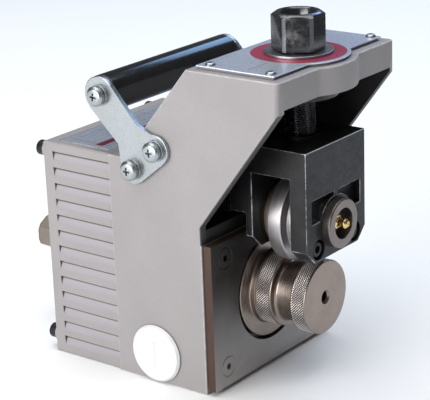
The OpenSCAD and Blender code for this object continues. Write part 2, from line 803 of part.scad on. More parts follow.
module housing() {
  color([0.72, 0.70, 0.70]) placed() difference() {
    union() {
      difference() {
        union() {
          intersection() {
            across_x(-half_w, half_w) side_outline();
            translate([0, 0, -over]) linear_extrude(arm_top + 2 * over) top_outline();
          }
          rod_z(bulge_r, lip_z, arm_top, 0, feed_y);
          both_sides() bulge_flare();
        }
        across_x(-inner_half_w, inner_half_w) throat_outline();
        box_cavity();
      }
      across_x(-guide_w / 2, guide_w / 2) guide_outline();
      rod_z(boss_r, boss_z, ceiling_z + over, 0, feed_y);
      translate([0, 0, arm_top - over]) linear_extrude(dial_pad_h + over) dial_outline(dial_pad_inset);
    }
    drive_bore();
    rod_z(nut_r + seat_gap, boss_z - over, dial_seat_z + over, 0, feed_y);
    rod_x(plug_body_r + seat_gap, -half_w - over, -box_half_w + over, plug_y, plug_z);
    for (x = [-plate_screw_x, plate_screw_x], z = plate_screw_z)
      rod_y(screw_r + seat_gap, -over, plate_screw_depth + over, x, z);
    for (x = [-bolt_x, bolt_x], z = bolt_z)
      rod_y(screw_r + seat_gap, housing_d - bolt_depth - over, housing_d + over, x, z);
    for (p = bracket_points) both_sides()
      rod_x(screw_r + seat_gap, half_w - bracket_screw_depth - over, half_w + over, p[0], p[1]);
    for (x = [-dial_screw_x, dial_screw_x], y = dial_screw_y)
      rod_z(small_screw_r + seat_gap, dial_seat_z - small_screw_depth - over, dial_seat_z + over, x, y);
    for (x = [-gib_screw_x, gib_screw_x], z = gib_screw_z)
      rod_y(gib_screw_r + seat_gap, guide_y - over, guide_y + gib_screw_depth + over, x, z);
  }
}

module front_plate() {
  color([0.27, 0.26, 0.27]) placed() difference() {
    bar(-plate_half_w, plate_half_w, plate_y0, plate_y1, plate_bottom, plate_top);
    rod_y(flange_r + plate_bore_gap, plate_y0 - over, plate_y1 + over, 0, drive_z);
    for (x = [-plate_screw_x, plate_screw_x], z = plate_screw_z) {
      rod_y(screw_r + hole_gap, plate_y0 - over, plate_y1 + over, x, z);
      cone_y(csk_head_r + csk_gap, screw_r + csk_gap, plate_y0, plate_y0 + csk_h, x, z);
    }
  }
}

module plate_gasket() {
  inset = 1.2;
  color([0.20, 0.15, 0.12]) placed() difference() {
    bar(-plate_half_w + inset, plate_half_w - inset, plate_y1, 0, plate_bottom + inset, plate_top - inset);
    rod_y(flange_r + plate_bore_gap + inset, plate_y1 - over, over, 0, drive_z);
    for (x = [-plate_screw_x, plate_screw_x], z = plate_screw_z)
      rod_y(screw_r + hole_gap, plate_y1 - over, over, x, z);
  }
}

module plate_screws() {
  color([0.20, 0.20, 0.21]) placed() for (x = [-plate_screw_x, plate_screw_x], z = plate_screw_z)
    difference() {
      union() {
        cone_y(csk_head_r, screw_r, plate_y0 + csk_sink, plate_y0 + csk_sink + csk_h, x, z);
        rod_y(screw_r, plate_y0 + csk_sink, plate_screw_depth, x, z);
      }
      translate([x, plate_y0 - over, z]) rotate([-90, 0, 0])
        cylinder(r = csk_socket_r, h = over + csk_socket_depth, $fn = 6);
    }
}

// One step of the ribbed sides, cut from the cover's left side
module rib_cut(z) {
  across_y(cover_y0 - over, cover_y1 - rear_band)
    polygon([[-cover_half_w - over, z], [-cover_half_w + rib_depth, z], [-cover_half_w, z - rib_slope],
      [-cover_half_w - over, z - rib_slope]]);
}

// Hollow of the cover, left solid round the gears and the bolts
module cover_cavity() {
  y1 = cover_y1 - cover_wall;
  x1 = cover_half_w - cover_wall - rib_depth;
  difference() {
    bar(-x1, x1, cover_y0 - over, y1, cover_wall, cover_top - cover_wall);
    rod_y(gear_shell_r, cover_y0 - 2 * over, y1 + over, 0, drive_z);
    for (x = [-bolt_x, bolt_x], z = bolt_z)
      rod_y(bolt_boss_r, cover_y0 - 2 * over, y1 + over, x, z);
  }
}

// Stepped bore for the ring gear, the input bearing and the seal
module cover_bore() {
  rod_y(ring_r + seat_gap, cover_y0 - over, gear_y1, 0, drive_z);
  rod_y(carrier_room_r, cover_y0 - over, input_bearing_y0 - 1, 0, drive_z);
  rod_y(input_bearing_r + seat_gap, cover_y0 - over, input_bearing_y1, 0, drive_z);
  rod_y(input_room_r, cover_y0 - over, input_seal_y0 - 1.5, 0, drive_z);
  rod_y(input_r + 2.5, cover_y0 - over, input_seal_y0 + over, 0, drive_z);
  rod_y(input_seal_r + seat_gap, input_seal_y0, cover_y1 + over, 0, drive_z);
}

module rear_cover() {
  color([0.73, 0.71, 0.73]) placed() difference() {
    union() {
      bar(-cover_half_w, cover_half_w, cover_y0, cover_y1, 0, cover_top);
      for (x = [-bolt_x, bolt_x], z = bolt_z)
        rod_y(bolt_pad_r, cover_y1 - over, bolt_seat_y, x, z);
    }
    cover_cavity();
    cover_bore();
    both_sides() for (i = [0 : rib_count - 1]) rib_cut(rib_top_z - i * rib_pitch);
    for (x = [-bolt_x, bolt_x], z = bolt_z)
      rod_y(screw_r + hole_gap, cover_y0 - over, bolt_seat_y + over, x, z);
    bar(-label_x, label_x, label_y0, label_y1, cover_top - label_recess, cover_top + over);
  }
}

module cover_gasket() {
  inset = 0.6;
  band = cover_wall + rib_depth;
  color([0.25, 0.25, 0.26]) placed() difference() {
    bar(-cover_half_w + rib_depth + inset, cover_half_w - rib_depth - inset, housing_d, cover_y0, inset,
      cover_top - inset);
    difference() {
      bar(-cover_half_w + band, cover_half_w - band, housing_d - over, cover_y0 + over, cover_wall,
        cover_top - cover_wall);
      for (x = [-bolt_x, bolt_x], z = bolt_z)
        rod_y(bolt_boss_r, housing_d - 2 * over, cover_y0 + 2 * over, x, z);
    }
    for (x = [-bolt_x, bolt_x], z = bolt_z)
      rod_y(screw_r + hole_gap, housing_d - over, cover_y0 + over, x, z);
  }
}

module cover_bolts() {
  color([0.12, 0.12, 0.13]) placed() for (x = [-bolt_x, bolt_x], z = bolt_z)
    cap_screw(x, z, bolt_seat_y, bolt_seat_y - housing_d + bolt_depth, 1, screw_r, cap_head_r, cap_head_h);
}

module cover_label() {
  color([0.62, 0.66, 0.74]) placed()
    bar(-label_x + label_margin, label_x - label_margin, label_y0 + label_margin, label_y1 - label_margin,
      cover_top - label_recess, cover_top - label_recess + label_t);
}

module ring_gear() {
  color([0.50, 0.50, 0.52]) placed() translate([0, 0, drive_z]) across_y(gear_y0, gear_y1) difference() {
    circle(ring_r);
    rotate(90) gear_outline(ring_teeth, gear_module * (ring_teeth / 2 - 1), ring_root_r, -backlash / 2);
  }
}

module front_bearing() {
  color([0.60, 0.60, 0.62]) placed()
    bearing(front_journal_r + run_gap, front_bearing_r, front_bearing_y0, front_bearing_w);
}

module rear_bearing() {
  color([0.60, 0.60, 0.62]) placed()
    bearing(rear_journal_r + run_gap, rear_bearing_r, rear_bearing_y0, rear_bearing_w);
}

module input_bearing() {
  color([0.60, 0.60, 0.62]) placed()
    bearing(input_r + run_gap, input_bearing_r, input_bearing_y0, input_bearing_w);
}

module front_seal() {
  color([0.10, 0.10, 0.10]) placed()
    ring_y(front_journal_r + run_gap, front_bearing_r, seal_y0, seal_y0 + seal_w, 0, drive_z);
}

module input_seal() {
  color([0.10, 0.10, 0.10]) placed()
    ring_y(input_r + run_gap, input_seal_r, input_seal_y0, input_seal_y1, 0, drive_z);
}

module side_plug() {
  mark_w = 0.8;
  mark_h = 16;
  mark_depth = 0.6;
  x0 = -half_w - plug_cap_t;
  color([0.95, 0.95, 0.95]) placed() difference() {
    union() {
      rod_x(plug_r - plug_edge, x0, -half_w, plug_y, plug_z);
      rod_x(plug_r, x0 + plug_edge, -half_w, plug_y, plug_z);
      rod_x(plug_body_r, -half_w - plug_edge, -box_half_w, plug_y, plug_z);
    }
    rod_x(plug_body_r - plug_wall, -half_w, -box_half_w + over, plug_y, plug_z);
    bar(x0 - over, x0 + mark_depth, plug_y - mark_w / 2, plug_y + mark_w / 2, plug_z - mark_h / 2,
      plug_z + mark_h / 2);
  }
}

// Right handle bracket: a foot with two screws and an arm up to the handle
module bracket() {
  waist = [waist_y, waist_z];
  difference() {
    union() {
      link_x(bracket_x0, bracket_x1, bracket_points[0], bracket_foot_r, bracket_points[1], bracket_foot_r);
      for (p = bracket_points) link_x(bracket_x0, bracket_x1, waist, waist_r, p, bracket_foot_r - 1);
      link_x(bracket_x0, bracket_x1, waist, waist_r, handle_point, bracket_end_r);
    }
    for (p = concat(bracket_points, [handle_point]))
      rod_x(screw_r + hole_gap, bracket_x0 - over, bracket_x1 + over, p[0], p[1]);
  }
}

module left_bracket() {
  color([0.80, 0.82, 0.84]) placed() mirror([1, 0, 0]) bracket();
}

module right_bracket() {
  color([0.80, 0.82, 0.84]) placed() bracket();
}

module handle_grip() {
  color([0.06, 0.06, 0.07]) placed() difference() {
    rod_x(grip_r, -half_w, half_w, handle_y, handle_z);
    rod_x(rod_r + seat_gap, -half_w - over, half_w + over, handle_y, handle_z);
  }
}

module handle_rod() {
  color([0.60, 0.61, 0.62]) placed() difference() {
    rod_x(rod_r, -half_w, half_w, handle_y, handle_z);
    both_sides()
      rod_x(screw_r + seat_gap, half_w - bracket_screw_depth - over, half_w + over, handle_y, handle_z);
  }
}

module handle_screws() {
  color([0.82, 0.84, 0.86]) placed() both_sides()
    pan_screw_x(handle_y, handle_z, pan_x, pan_screw_l, screw_r, pan_head_r, pan_head_h);
}

module bracket_screws() {
  color([0.82, 0.84, 0.86]) placed() both_sides() for (p = bracket_points)
    pan_screw_x(p[0], p[1], pan_x, pan_screw_l, screw_r, pan_head_r, pan_head_h);
}

// Washer on the right side, at one screw
module washer_x(p, r, x0, x1) {
  difference() {
    rod_x(r, x0, x1, p[0], p[1]);
    rod_x(screw_r + seat_gap, x0 - over, x1 + over, p[0], p[1]);
  }
}

module flat_washers() {
  color([0.78, 0.80, 0.82]) placed() both_sides() for (p = concat(bracket_points, [handle_point]))
    washer_x(p, pan_head_r + 0.4, bracket_x1, lock_washer_x);
}

module lock_washers() {
  color([0.70, 0.72, 0.74]) placed() both_sides() for (p = concat(bracket_points, [handle_point]))
    washer_x(p, pan_head_r - 0.7, lock_washer_x, pan_x);
}

// Outline of the dial plate with its round front, drawn in by an inset
module dial_outline(inset) {
  x = dial_half_w - inset;
  translate([-x, dial_y0 + inset]) square([2 * x, dial_y1 - dial_y0 - 2 * inset]);
  translate([0, feed_y]) circle(dial_r - inset);
}

module dial_plate() {
  color([0.74, 0.77, 0.82]) placed() translate([0, 0, dial_seat_z]) linear_extrude(label_t) difference() {
    dial_outline(0);
    translate([0, feed_y]) circle(nut_r + hole_gap);
    for (x = [-dial_screw_x, dial_screw_x], y = dial_screw_y)
      translate([x, y]) circle(small_screw_r + hole_gap);
  }
}

module dial_screws() {
  brim = small_head_h * 0.4;
  depth = label_t + small_screw_depth;
  color([0.85, 0.86, 0.88]) placed() for (x = [-dial_screw_x, dial_screw_x], y = dial_screw_y)
    translate([x, y, dial_seat_z + label_t]) {
      translate([0, 0, -depth]) cylinder(r = small_screw_r, h = depth);
      cylinder(r = small_head_r, h = brim);
      translate([0, 0, brim]) cylinder(r1 = small_head_r, r2 = small_head_r * 0.5, h = small_head_h - brim);
    }
}

module feed_nut() {
  color([0.55, 0.55, 0.56]) placed() difference() {
    union() {
      rod_z(nut_r, boss_z, nut_seat_z + 0.1, 0, feed_y);
      rod_z(nut_flange_r, nut_seat_z, nut_top_z, 0, feed_y);
    }
    rod_z(thread_r + 1.6 * run_gap, boss_z - over, nut_top_z + over, 0, feed_y);
  }
}

// Right gib: an L-shaped keeper in front of the slide's flange
module gib() {
  difference() {
    union() {
      bar(gib_x0, gib_x1, gib_y0, gib_lip_y1, gib_z0, gib_z1);
      bar(gib_leg_x, gib_x1, gib_y0, guide_y, gib_z0, gib_z1);
    }
    for (z = gib_screw_z) rod_y(gib_screw_r + hole_gap, gib_y0 - over, guide_y + over, gib_screw_x, z);
  }
}

module slide_gibs() {
  color([0.35, 0.35, 0.36]) placed() both_sides() gib();
}

module gib_screws() {
  color([0.18, 0.18, 0.19]) placed() for (x = [-gib_screw_x, gib_screw_x], z = gib_screw_z)
    cap_screw(x, z, gib_y0, guide_y - gib_y0 + gib_screw_depth, -1, gib_screw_r, gib_head_r, gib_head_h);
}

// Front view of the front leg with its chamfered bottom corners
module leg_outline() {
  polygon([[-slide_half_w, slide_bottom + leg_chamfer], [-slide_half_w + leg_chamfer, slide_bottom],
    [slide_half_w - leg_chamfer, slide_bottom], [slide_half_w, slide_bottom + leg_chamfer],
    [slide_half_w, slide_top], [-slide_half_w, slide_top]]);
}

// Front view of the rear leg with its chamfered bottom corners
module rear_leg_outline() {
  polygon([[-slide_half_w, rear_leg_bottom + leg_chamfer], [-slide_half_w + leg_chamfer, rear_leg_bottom],
    [slide_half_w - leg_chamfer, rear_leg_bottom], [slide_half_w, rear_leg_bottom + leg_chamfer],
    [slide_half_w, slide_top], [-slide_half_w, slide_top]]);
}

// Cast pocket on the right of the shaft's boss
module leg_pocket() {
  across_y(slide_y0 - over, slide_y0 + pocket_depth) difference() {
    translate([pocket_rib, pocket_bottom]) square([pocket_half_w - pocket_rib, pocket_top - pocket_bottom]);
    translate([0, groove_z]) circle(boss_ring_r);
  }
}

module slide_block() {
  color([0.22, 0.22, 0.23]) placed() difference() {
    union() {
      across_y(slide_y0, slot_y0) leg_outline();
      across_y(slot_y1, rear_leg_y1) rear_leg_outline();
      bar(-slide_half_w, slide_half_w, slot_y0 - over, slot_y1 + over, slot_top, slide_top);
      bar(-slide_half_w, slide_half_w, rear_leg_y1 - over, body_y1, slide_shoulder, slide_top);
      bar(-neck_w / 2, neck_w / 2, body_y1 - over, flange_back_y, neck_z0, neck_z1);
      bar(-guide_flange_w / 2, guide_flange_w / 2, flange_front_y, flange_back_y, neck_z0, neck_z1);
    }
    rod_y(shaft_r + seat_gap, slide_y0 - over, slot_y0 + over, 0, groove_z);
    rod_y(rear_pin_r + seat_gap, slot_y1 - over, rear_leg_y1 + over, 0, groove_z);
    rod_z(feed_journal_r + run_gap, slot_top - over, slide_top + over, 0, feed_y);
    rod_z(keeper_room_r, slot_top - over, slot_top + keeper_room_h, 0, feed_y);
    both_sides() leg_pocket();
    both_sides() rod_y(lock_pocket_r, slide_y0 - over, slide_y0 + lock_pocket_depth, lock_x, lock_z);
    both_sides()
      rod_y(screw_r + seat_gap, slide_y0, slide_y0 + lock_pocket_depth + lock_depth, lock_x, lock_z);
  }
}

module groove_roll_shaft() {
  y0 = slide_y0 - shaft_proud;
  edge = 0.8;
  color([0.55, 0.54, 0.53]) placed() difference() {
    turned_y(groove_z) polygon([[0, y0], [shaft_r - edge, y0], [shaft_r, y0 + edge], [shaft_r, slot_y0],
      [journal_r, slot_y0], [journal_r, slot_y1], [rear_pin_r, slot_y1], [rear_pin_r, rear_leg_y1],
      [0, rear_leg_y1]]);
    rod_y(fitting_recess_r, y0 - over, y0 + fitting_recess_depth, 0, groove_z);
    rod_y(fitting_thread_r + seat_gap, y0, y0 + fitting_recess_depth + fitting_thread_l + over, 0, groove_z);
    rod_y(grease_way_r, y0, groove_mid_y, 0, groove_z);
    rod_z(grease_way_r, groove_z - journal_r - over, groove_z, 0, groove_mid_y - grease_way_r);
  }
}

// Straight grease nipple in the shaft's recess
module grease_fitting() {
  base = slide_y0 - shaft_proud + fitting_recess_depth;
  tip = base - fitting_h;
  hex = base - fitting_hex_h;
  color([0.83, 0.68, 0.38]) placed() difference() {
    union() {
      translate([0, hex, groove_z]) rotate([-90, 0, 0])
        cylinder(r = fitting_hex_r, h = fitting_hex_h, $fn = 6);
      turned_y(groove_z) polygon([
        [0, tip], [fitting_ball_r / 2, tip], [fitting_ball_r, tip + fitting_ball_r / 2],
        [fitting_ball_r, tip + fitting_ball_r], [fitting_neck_r, tip + 1.5 * fitting_ball_r],
        [fitting_neck_r, hex - 1], [fitting_ball_r, hex], [fitting_ball_r, hex + over],
        [fitting_thread_r, hex + over], [fitting_thread_r, base + fitting_thread_l],
        [0, base + fitting_thread_l]]);
    }
    rod_y(fitting_hole_r, tip - over, base + fitting_thread_l + over, 0, groove_z);
  }
}

module shaft_lock_screws() {
  color([0.16, 0.16, 0.17]) placed() for (x = [-lock_x, lock_x])
    cap_screw(x, lock_z, slide_y0 + lock_pocket_depth, lock_depth, -1, screw_r, cap_head_r, lock_head_h);
}

module roll_thrust_washers() {
  r1 = groove_hub_r - 2;
  color([0.72, 0.60, 0.35]) placed() {
    ring_y(journal_r + seat_gap, r1, slot_y0, slot_y0 + washer_t, 0, groove_z);
    ring_y(journal_r + seat_gap, r1, slot_y1 - washer_t, slot_y1, 0, groove_z);
  }
}

// Flat ring about the feed screw's axis
module ring_z(r_in, r_out, z0, z1) {
  translate([0, feed_y, 0]) rotate_extrude() polygon([[r_in, z0], [r_out, z0], [r_out, z1], [r_in, z1]]);
}

module screw_thrust_washer() {
  color([0.30, 0.30, 0.31]) placed()
    ring_z(feed_journal_r + run_gap, feed_washer_r, slide_top, slide_top + feed_washer_t);
}

module keeper_washer() {
  color([0.55, 0.55, 0.56]) placed()
    ring_z(feed_journal_r + run_gap, keeper_room_r - 0.5, keeper_washer_z, keeper_washer_z + keeper_washer_t);
}

module keeper_ring() {
  inner = feed_journal_r - snap_depth + seat_gap;
  color([0.30, 0.30, 0.31]) placed()
    ring_z(inner, keeper_room_r - 1.5, keeper_ring_z, keeper_ring_z + keeper_ring_t);
}

// Profile of the feed screw from its lower end to the underside of its head
module feed_profile() {
  root = thread_r - thread_depth;
  groove = feed_journal_r - snap_depth;
  groove_z0 = keeper_ring_z - snap_slack;
  groove_z1 = keeper_ring_z + keeper_ring_t + snap_slack;
  end_z = slot_top + roll_edge;
  head_z = feed_hex_z + roll_edge;
  polygon(concat(
    [[0, end_z], [feed_journal_r - roll_edge, end_z], [feed_journal_r, end_z + roll_edge],
      [feed_journal_r, groove_z0], [groove, groove_z0], [groove, groove_z1], [feed_journal_r, groove_z1],
      [feed_journal_r, thread_z0], [root, thread_z0]],
    [for (i = [0 : thread_turns - 1], k = [0 : 1])
      [k == 0 ? root : thread_r, thread_z0 + (i + 0.25 + 0.5 * k) * thread_pitch]],
    [[root, thread_z0 + thread_turns * thread_pitch], [root, head_z], [0, head_z]]));
}

module feed_screw() {
  corner = feed_hex_af / sqrt(3);
  turned = corner - 0.7;
  top_z = feed_hex_z + feed_hex_h;
  color([0.20, 0.19, 0.20]) placed() translate([0, feed_y, 0]) difference() {
    union() {
      rotate_extrude() feed_profile();
      intersection() {
        translate([0, 0, feed_hex_z]) rotate(feed_hex_turn) cylinder(r = corner, h = feed_hex_h, $fn = 6);
        rotate_extrude() polygon([[0, feed_hex_z - over], [turned, feed_hex_z - over], [turned, top_z - 2],
          [turned - 3, top_z], [0, top_z]]);
      }
    }
    translate([0, 0, top_z - feed_bore_depth]) cylinder(r = feed_bore_r, h = feed_bore_depth + over);
    translate([0, 0, top_z - 1]) cylinder(r1 = feed_bore_r, r2 = feed_bore_r + 1.2, h = 1.2);
  }
}

module groove_roll() {
  edge = 2 * roll_edge;
  bore = bush_r + seat_gap;
  hub = groove_hub_r - roll_edge;
  color([0.60, 0.59, 0.60]) placed() turned_y(groove_z) polygon([
    [bore, hub_y0], [hub, hub_y0], [groove_hub_r, hub_y0 + roll_edge], [groove_hub_r, rim_y0],
    [groove_r - edge, rim_y0], [groove_r, rim_y0 + edge], [groove_r, rim_y1 - edge],
    [groove_r - edge, rim_y1], [groove_hub_r, rim_y1], [groove_hub_r, hub_y1 - roll_edge],
    [hub, hub_y1], [bore, hub_y1]]);
}

module groove_roll_bush() {
  color([0.74, 0.58, 0.32]) placed() ring_y(journal_r + run_gap, bush_r, hub_y0, hub_y1, 0, groove_z);
}

module drive_roll() {
  edge = roll_edge;
  step_y0 = front_bearing_y1 + face_gap;
  step_y1 = rear_bearing_y0 - face_gap;
  seat_y0 = carrier_y0 - 0.1;
  sink = 1.3;
  color([0.60, 0.56, 0.53]) placed() difference() {
    turned_y(drive_z) polygon([
      [0, roll_y0], [drive_r - edge, roll_y0], [drive_r, roll_y0 + edge], [drive_r, groove_y0 - edge],
      [drive_r - edge, groove_y0], [drive_groove_r, groove_y0], [drive_groove_r, groove_y1],
      [drive_r - edge, groove_y1], [drive_r, groove_y1 + edge], [drive_r, collar_y0], [collar_r, collar_y0],
      [collar_r, flange_y0], [flange_r - edge, flange_y0], [flange_r, flange_y0 + edge],
      [flange_r, drive_flange_y1], [front_journal_r, drive_flange_y1], [front_journal_r, step_y0],
      [shaft_mid_r, step_y0], [shaft_mid_r, step_y1], [rear_journal_r, step_y1], [rear_journal_r, seat_y0],
      [carrier_seat_r, seat_y0], [carrier_seat_r, shaft_end_y], [0, shaft_end_y]]);
    rod_y(centre_hole_r, roll_y0 - over, roll_y0 + centre_hole_depth, 0, drive_z);
    cone_y(centre_hole_r + sink, centre_hole_r, roll_y0, roll_y0 + sink, 0, drive_z);
    rod_y(pilot_r + run_gap, pilot_y0, shaft_end_y + over, 0, drive_z);
    bar(-key_w / 2, key_w / 2, carrier_y0, carrier_y1, key_bottom, key_top);
    ring_y(carrier_seat_r - snap_depth, carrier_seat_r + over, carrier_y1,
      carrier_y1 + carrier_ring_t + 2 * snap_slack, 0, drive_z);
  }
}

module planet_carrier() {
  color([0.50, 0.50, 0.51]) placed() difference() {
    rod_y(carrier_r, carrier_y0, carrier_y1, 0, drive_z);
    rod_y(carrier_seat_r + seat_gap, carrier_y0 - over, carrier_y1 + over, 0, drive_z);
    bar(-key_w / 2, key_w / 2, carrier_y0 - over, carrier_y1 + over, drive_z, key_top);
    for (a = planet_angles) translate([0, 0, drive_z] + planet_centre(a))
      rod_y(planet_pin_r + seat_gap, pin_y0, carrier_y1 + over);
  }
}

module carrier_key() {
  half = key_w / 2 - seat_gap;
  color([0.55, 0.55, 0.56]) placed()
    bar(-half, half, carrier_y0 + key_end_gap, carrier_y1 - key_end_gap,
      key_bottom + seat_gap, key_top - seat_gap);
}

module carrier_ring() {
  y0 = carrier_y1 + snap_slack;
  color([0.30, 0.30, 0.31]) placed()
    ring_y(carrier_seat_r - snap_depth + seat_gap, carrier_seat_r + 2.5, y0, y0 + carrier_ring_t, 0, drive_z);
}

// Place of a planet's axis, seen from the drive axis
function planet_centre(a) = [gear_orbit * cos(a), 0, gear_orbit * sin(a)];

// Puts a piece on a planet's axis
module on_planet(a) {
  translate([0, 0, drive_z] + planet_centre(a)) children();
}

module planet_pins() {
  color([0.62, 0.62, 0.64]) placed() for (a = planet_angles) on_planet(a) difference() {
    rod_y(planet_pin_r, pin_y0, pin_y1);
    ring_y(planet_pin_r - snap_depth, planet_pin_r + over,
      clip_y0 - snap_slack, clip_y0 + clip_t + snap_slack);
  }
}

module planet_clips() {
  color([0.30, 0.30, 0.31]) placed() for (a = planet_angles) on_planet(a)
    ring_y(planet_pin_r - snap_depth + seat_gap, planet_pin_r + 2, clip_y0, clip_y0 + clip_t);
}

// A planet has a tooth towards the ring gear and a gap towards the sun
module planet_gear(a) {
  color([0.52, 0.52, 0.54]) placed() on_planet(a) across_y(gear_y0, gear_y1) difference() {
    rotate(a) outer_gear(planet_teeth);
    circle(planet_pin_r + run_gap);
  }
}

module planet_gear_1() {
  planet_gear(planet_angles[0]);
}

module planet_gear_2() {
  planet_gear(planet_angles[1]);
}

module planet_gear_3() {
  planet_gear(planet_angles[2]);
}

module input_shaft() {
  core_r = gear_module * (sun_teeth / 2 - 1.25) - 0.5;
  core_y0 = gear_y0 + 0.5;
  shoulder_y1 = input_bearing_y0 - face_gap;
  groove = input_r - snap_depth;
  corner = input_hex_af / sqrt(3);
  edge = 1.5;
  color([0.56, 0.52, 0.48]) placed() translate([0, 0, drive_z]) union() {
    turned_y(0) polygon([
      [0, pilot_y0 + 1], [pilot_r, pilot_y0 + 1], [pilot_r, core_y0], [core_r, core_y0],
      [core_r, input_collar_y0], [input_shoulder_r, input_collar_y0], [input_shoulder_r, shoulder_y1],
      [input_r, shoulder_y1], [input_r, input_ring_y0], [groove, input_ring_y0], [groove, input_ring_y1],
      [input_r, input_ring_y1], [input_r, hex_y0 + over], [0, hex_y0 + over]]);
    across_y(gear_y0, gear_y1) rotate(90) outer_gear(sun_teeth);
    intersection() {
      translate([0, hex_y0, 0]) rotate([-90, 30, 0]) cylinder(r = corner, h = hex_y1 - hex_y0, $fn = 6);
      turned_y(0) polygon([[0, hex_y0 - over], [corner - edge, hex_y0 - over],
        [corner + over, hex_y0 + edge + over], [corner + over, hex_y1 - edge - over], [corner - edge, hex_y1],
        [0, hex_y1]]);
    }
  }
}

module input_ring() {
  y0 = input_ring_y0 + snap_slack;
  color([0.30, 0.30, 0.31]) placed()
    ring_y(input_r - snap_depth + seat_gap, input_shoulder_r, y0, y0 + input_ring_t, 0, drive_z);
}

housing();
front_plate();
plate_gasket();
plate_screws();
rear_cover();
cover_gasket();
cover_bolts();
cover_label();
ring_gear();
front_bearing();
rear_bearing();
input_bearing();
front_seal();
input_seal();
side_plug();
left_bracket();
right_bracket();
handle_grip();
handle_rod();
handle_screws();
bracket_screws();
flat_washers();
lock_washers();
dial_plate();
dial_screws();
feed_nut();
slide_gibs();
gib_screws();
slide_block();
groove_roll_shaft();
grease_fitting();
shaft_lock_screws();
roll_thrust_washers();
screw_thrust_washer();
keeper_washer();
keeper_ring();
feed_screw();
groove_roll();
groove_roll_bush();
drive_roll();
planet_carrier();
carrier_key();
carrier_ring();
planet_pins();
planet_clips();
planet_gear_1();
planet_gear_2();
planet_gear_3();
input_shaft();
input_ring();
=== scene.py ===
"""Dresses the roll groover's solids: rounded castings, knurl and thread, painted and plated finishes."""
import functools
import json
import math

import bmesh
import bpy
from bpy.props import FloatProperty, FloatVectorProperty, IntProperty, PointerProperty
from mathutils import Matrix, Vector


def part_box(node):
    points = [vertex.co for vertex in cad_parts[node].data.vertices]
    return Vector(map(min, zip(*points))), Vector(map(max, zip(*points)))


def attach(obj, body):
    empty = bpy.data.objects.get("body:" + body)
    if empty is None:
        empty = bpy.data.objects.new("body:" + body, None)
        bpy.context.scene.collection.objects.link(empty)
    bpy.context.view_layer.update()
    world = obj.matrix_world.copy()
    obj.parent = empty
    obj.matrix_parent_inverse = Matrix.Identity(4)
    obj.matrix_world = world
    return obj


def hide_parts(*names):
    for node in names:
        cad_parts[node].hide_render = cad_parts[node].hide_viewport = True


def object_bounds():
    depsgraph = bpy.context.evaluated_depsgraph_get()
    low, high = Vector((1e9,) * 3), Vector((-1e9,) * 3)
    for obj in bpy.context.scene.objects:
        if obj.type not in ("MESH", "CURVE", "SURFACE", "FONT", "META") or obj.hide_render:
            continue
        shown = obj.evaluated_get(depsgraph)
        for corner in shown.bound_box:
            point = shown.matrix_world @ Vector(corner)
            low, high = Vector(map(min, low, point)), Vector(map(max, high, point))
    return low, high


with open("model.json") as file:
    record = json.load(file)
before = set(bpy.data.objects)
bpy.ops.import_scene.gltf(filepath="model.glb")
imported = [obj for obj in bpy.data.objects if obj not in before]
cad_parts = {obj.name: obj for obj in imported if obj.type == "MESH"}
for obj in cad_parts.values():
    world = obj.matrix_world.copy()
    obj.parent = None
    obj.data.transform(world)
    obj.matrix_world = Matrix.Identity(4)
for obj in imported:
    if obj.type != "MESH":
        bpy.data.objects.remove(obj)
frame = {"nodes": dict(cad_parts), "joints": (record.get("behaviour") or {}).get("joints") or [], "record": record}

bl_info = {
    "name": "Roll groover",
    "version": (1, 0, 0),
    "blender": (4, 5, 0),
    "location": "View3D > Sidebar > Roll groover",
    "description": "Finished meshes, materials and a studio stage for the roll groover",
    "category": "Object",
}

MM = 0.001
MERGE = 0.002 * MM
FULL_TURN = 2 * math.pi
CAD_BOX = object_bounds()
RECORD = frame["record"]
BODY = {node: body for body, nodes in RECORD["behaviour"]["bodies"].items() for node in nodes}
SLOT = {part["node"]: part["material_slot"] for part in RECORD["subparts"]}
AXIS = {joint["name"]: Vector(joint.get("pos_m") or (0, 0, 0)) for joint in frame["joints"]}
DRIVE = AXIS["drive_spin"]
GROOVE = AXIS["groove_roll_spin"]
FEED = AXIS["feed_turn"]
X, Y, Z = Vector((1, 0, 0)), Vector((0, 1, 0)), Vector((0, 0, 1))

# Angles between faces: flat faces are joined, facets belong to round holes, and sharper bends show as edges
FLAT, FACET = math.radians(0.6), math.radians(0.4)
SHARP, ROUNDED = math.radians(28), math.radians(35)

# Least part along an axis for a face that looks that way, and for an edge that stands upright
FACING, UPRIGHT = 0.9, 0.99

# Places along the drive roll, front to rear
ROLL_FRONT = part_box("drive_roll")[0].y
FRONT_BAND_END = ROLL_FRONT + 11.1 * MM
REAR_BAND_START = FRONT_BAND_END + 14.8 * MM
COLLAR_FRONT = REAR_BAND_START + 12.0 * MM
FLANGE_FRONT = COLLAR_FRONT + 3.8 * MM
FLANGE_BACK = FLANGE_FRONT + 6.0 * MM
ROLL_R, GROOVE_FLOOR_R, COLLAR_R, FLANGE_R = 24.0 * MM, 19.5 * MM, 24.6 * MM, 34.2 * MM
CENTRE_HOLE_R, CENTRE_HOLE_DEPTH, CENTRE_HOLE_TIP, CENTRE_SINK = 3.4 * MM, 22.0 * MM, 2.0 * MM, 1.3 * MM

# Knurl: plain lip beside each band, gap between lip and first ridge, mesh steps for each ridge
KNURL_LIP, KNURL_GAP, KNURL_STEPS = 0.9 * MM, 0.1 * MM, 6

# Groove roll: its hub, and how far the rim stands back from the hub's front and rear ends
GROOVE_HUB_R, RIM_FRONT_STEP, RIM_REAR_STEP = 22.5 * MM, 8.3 * MM, 6.1 * MM

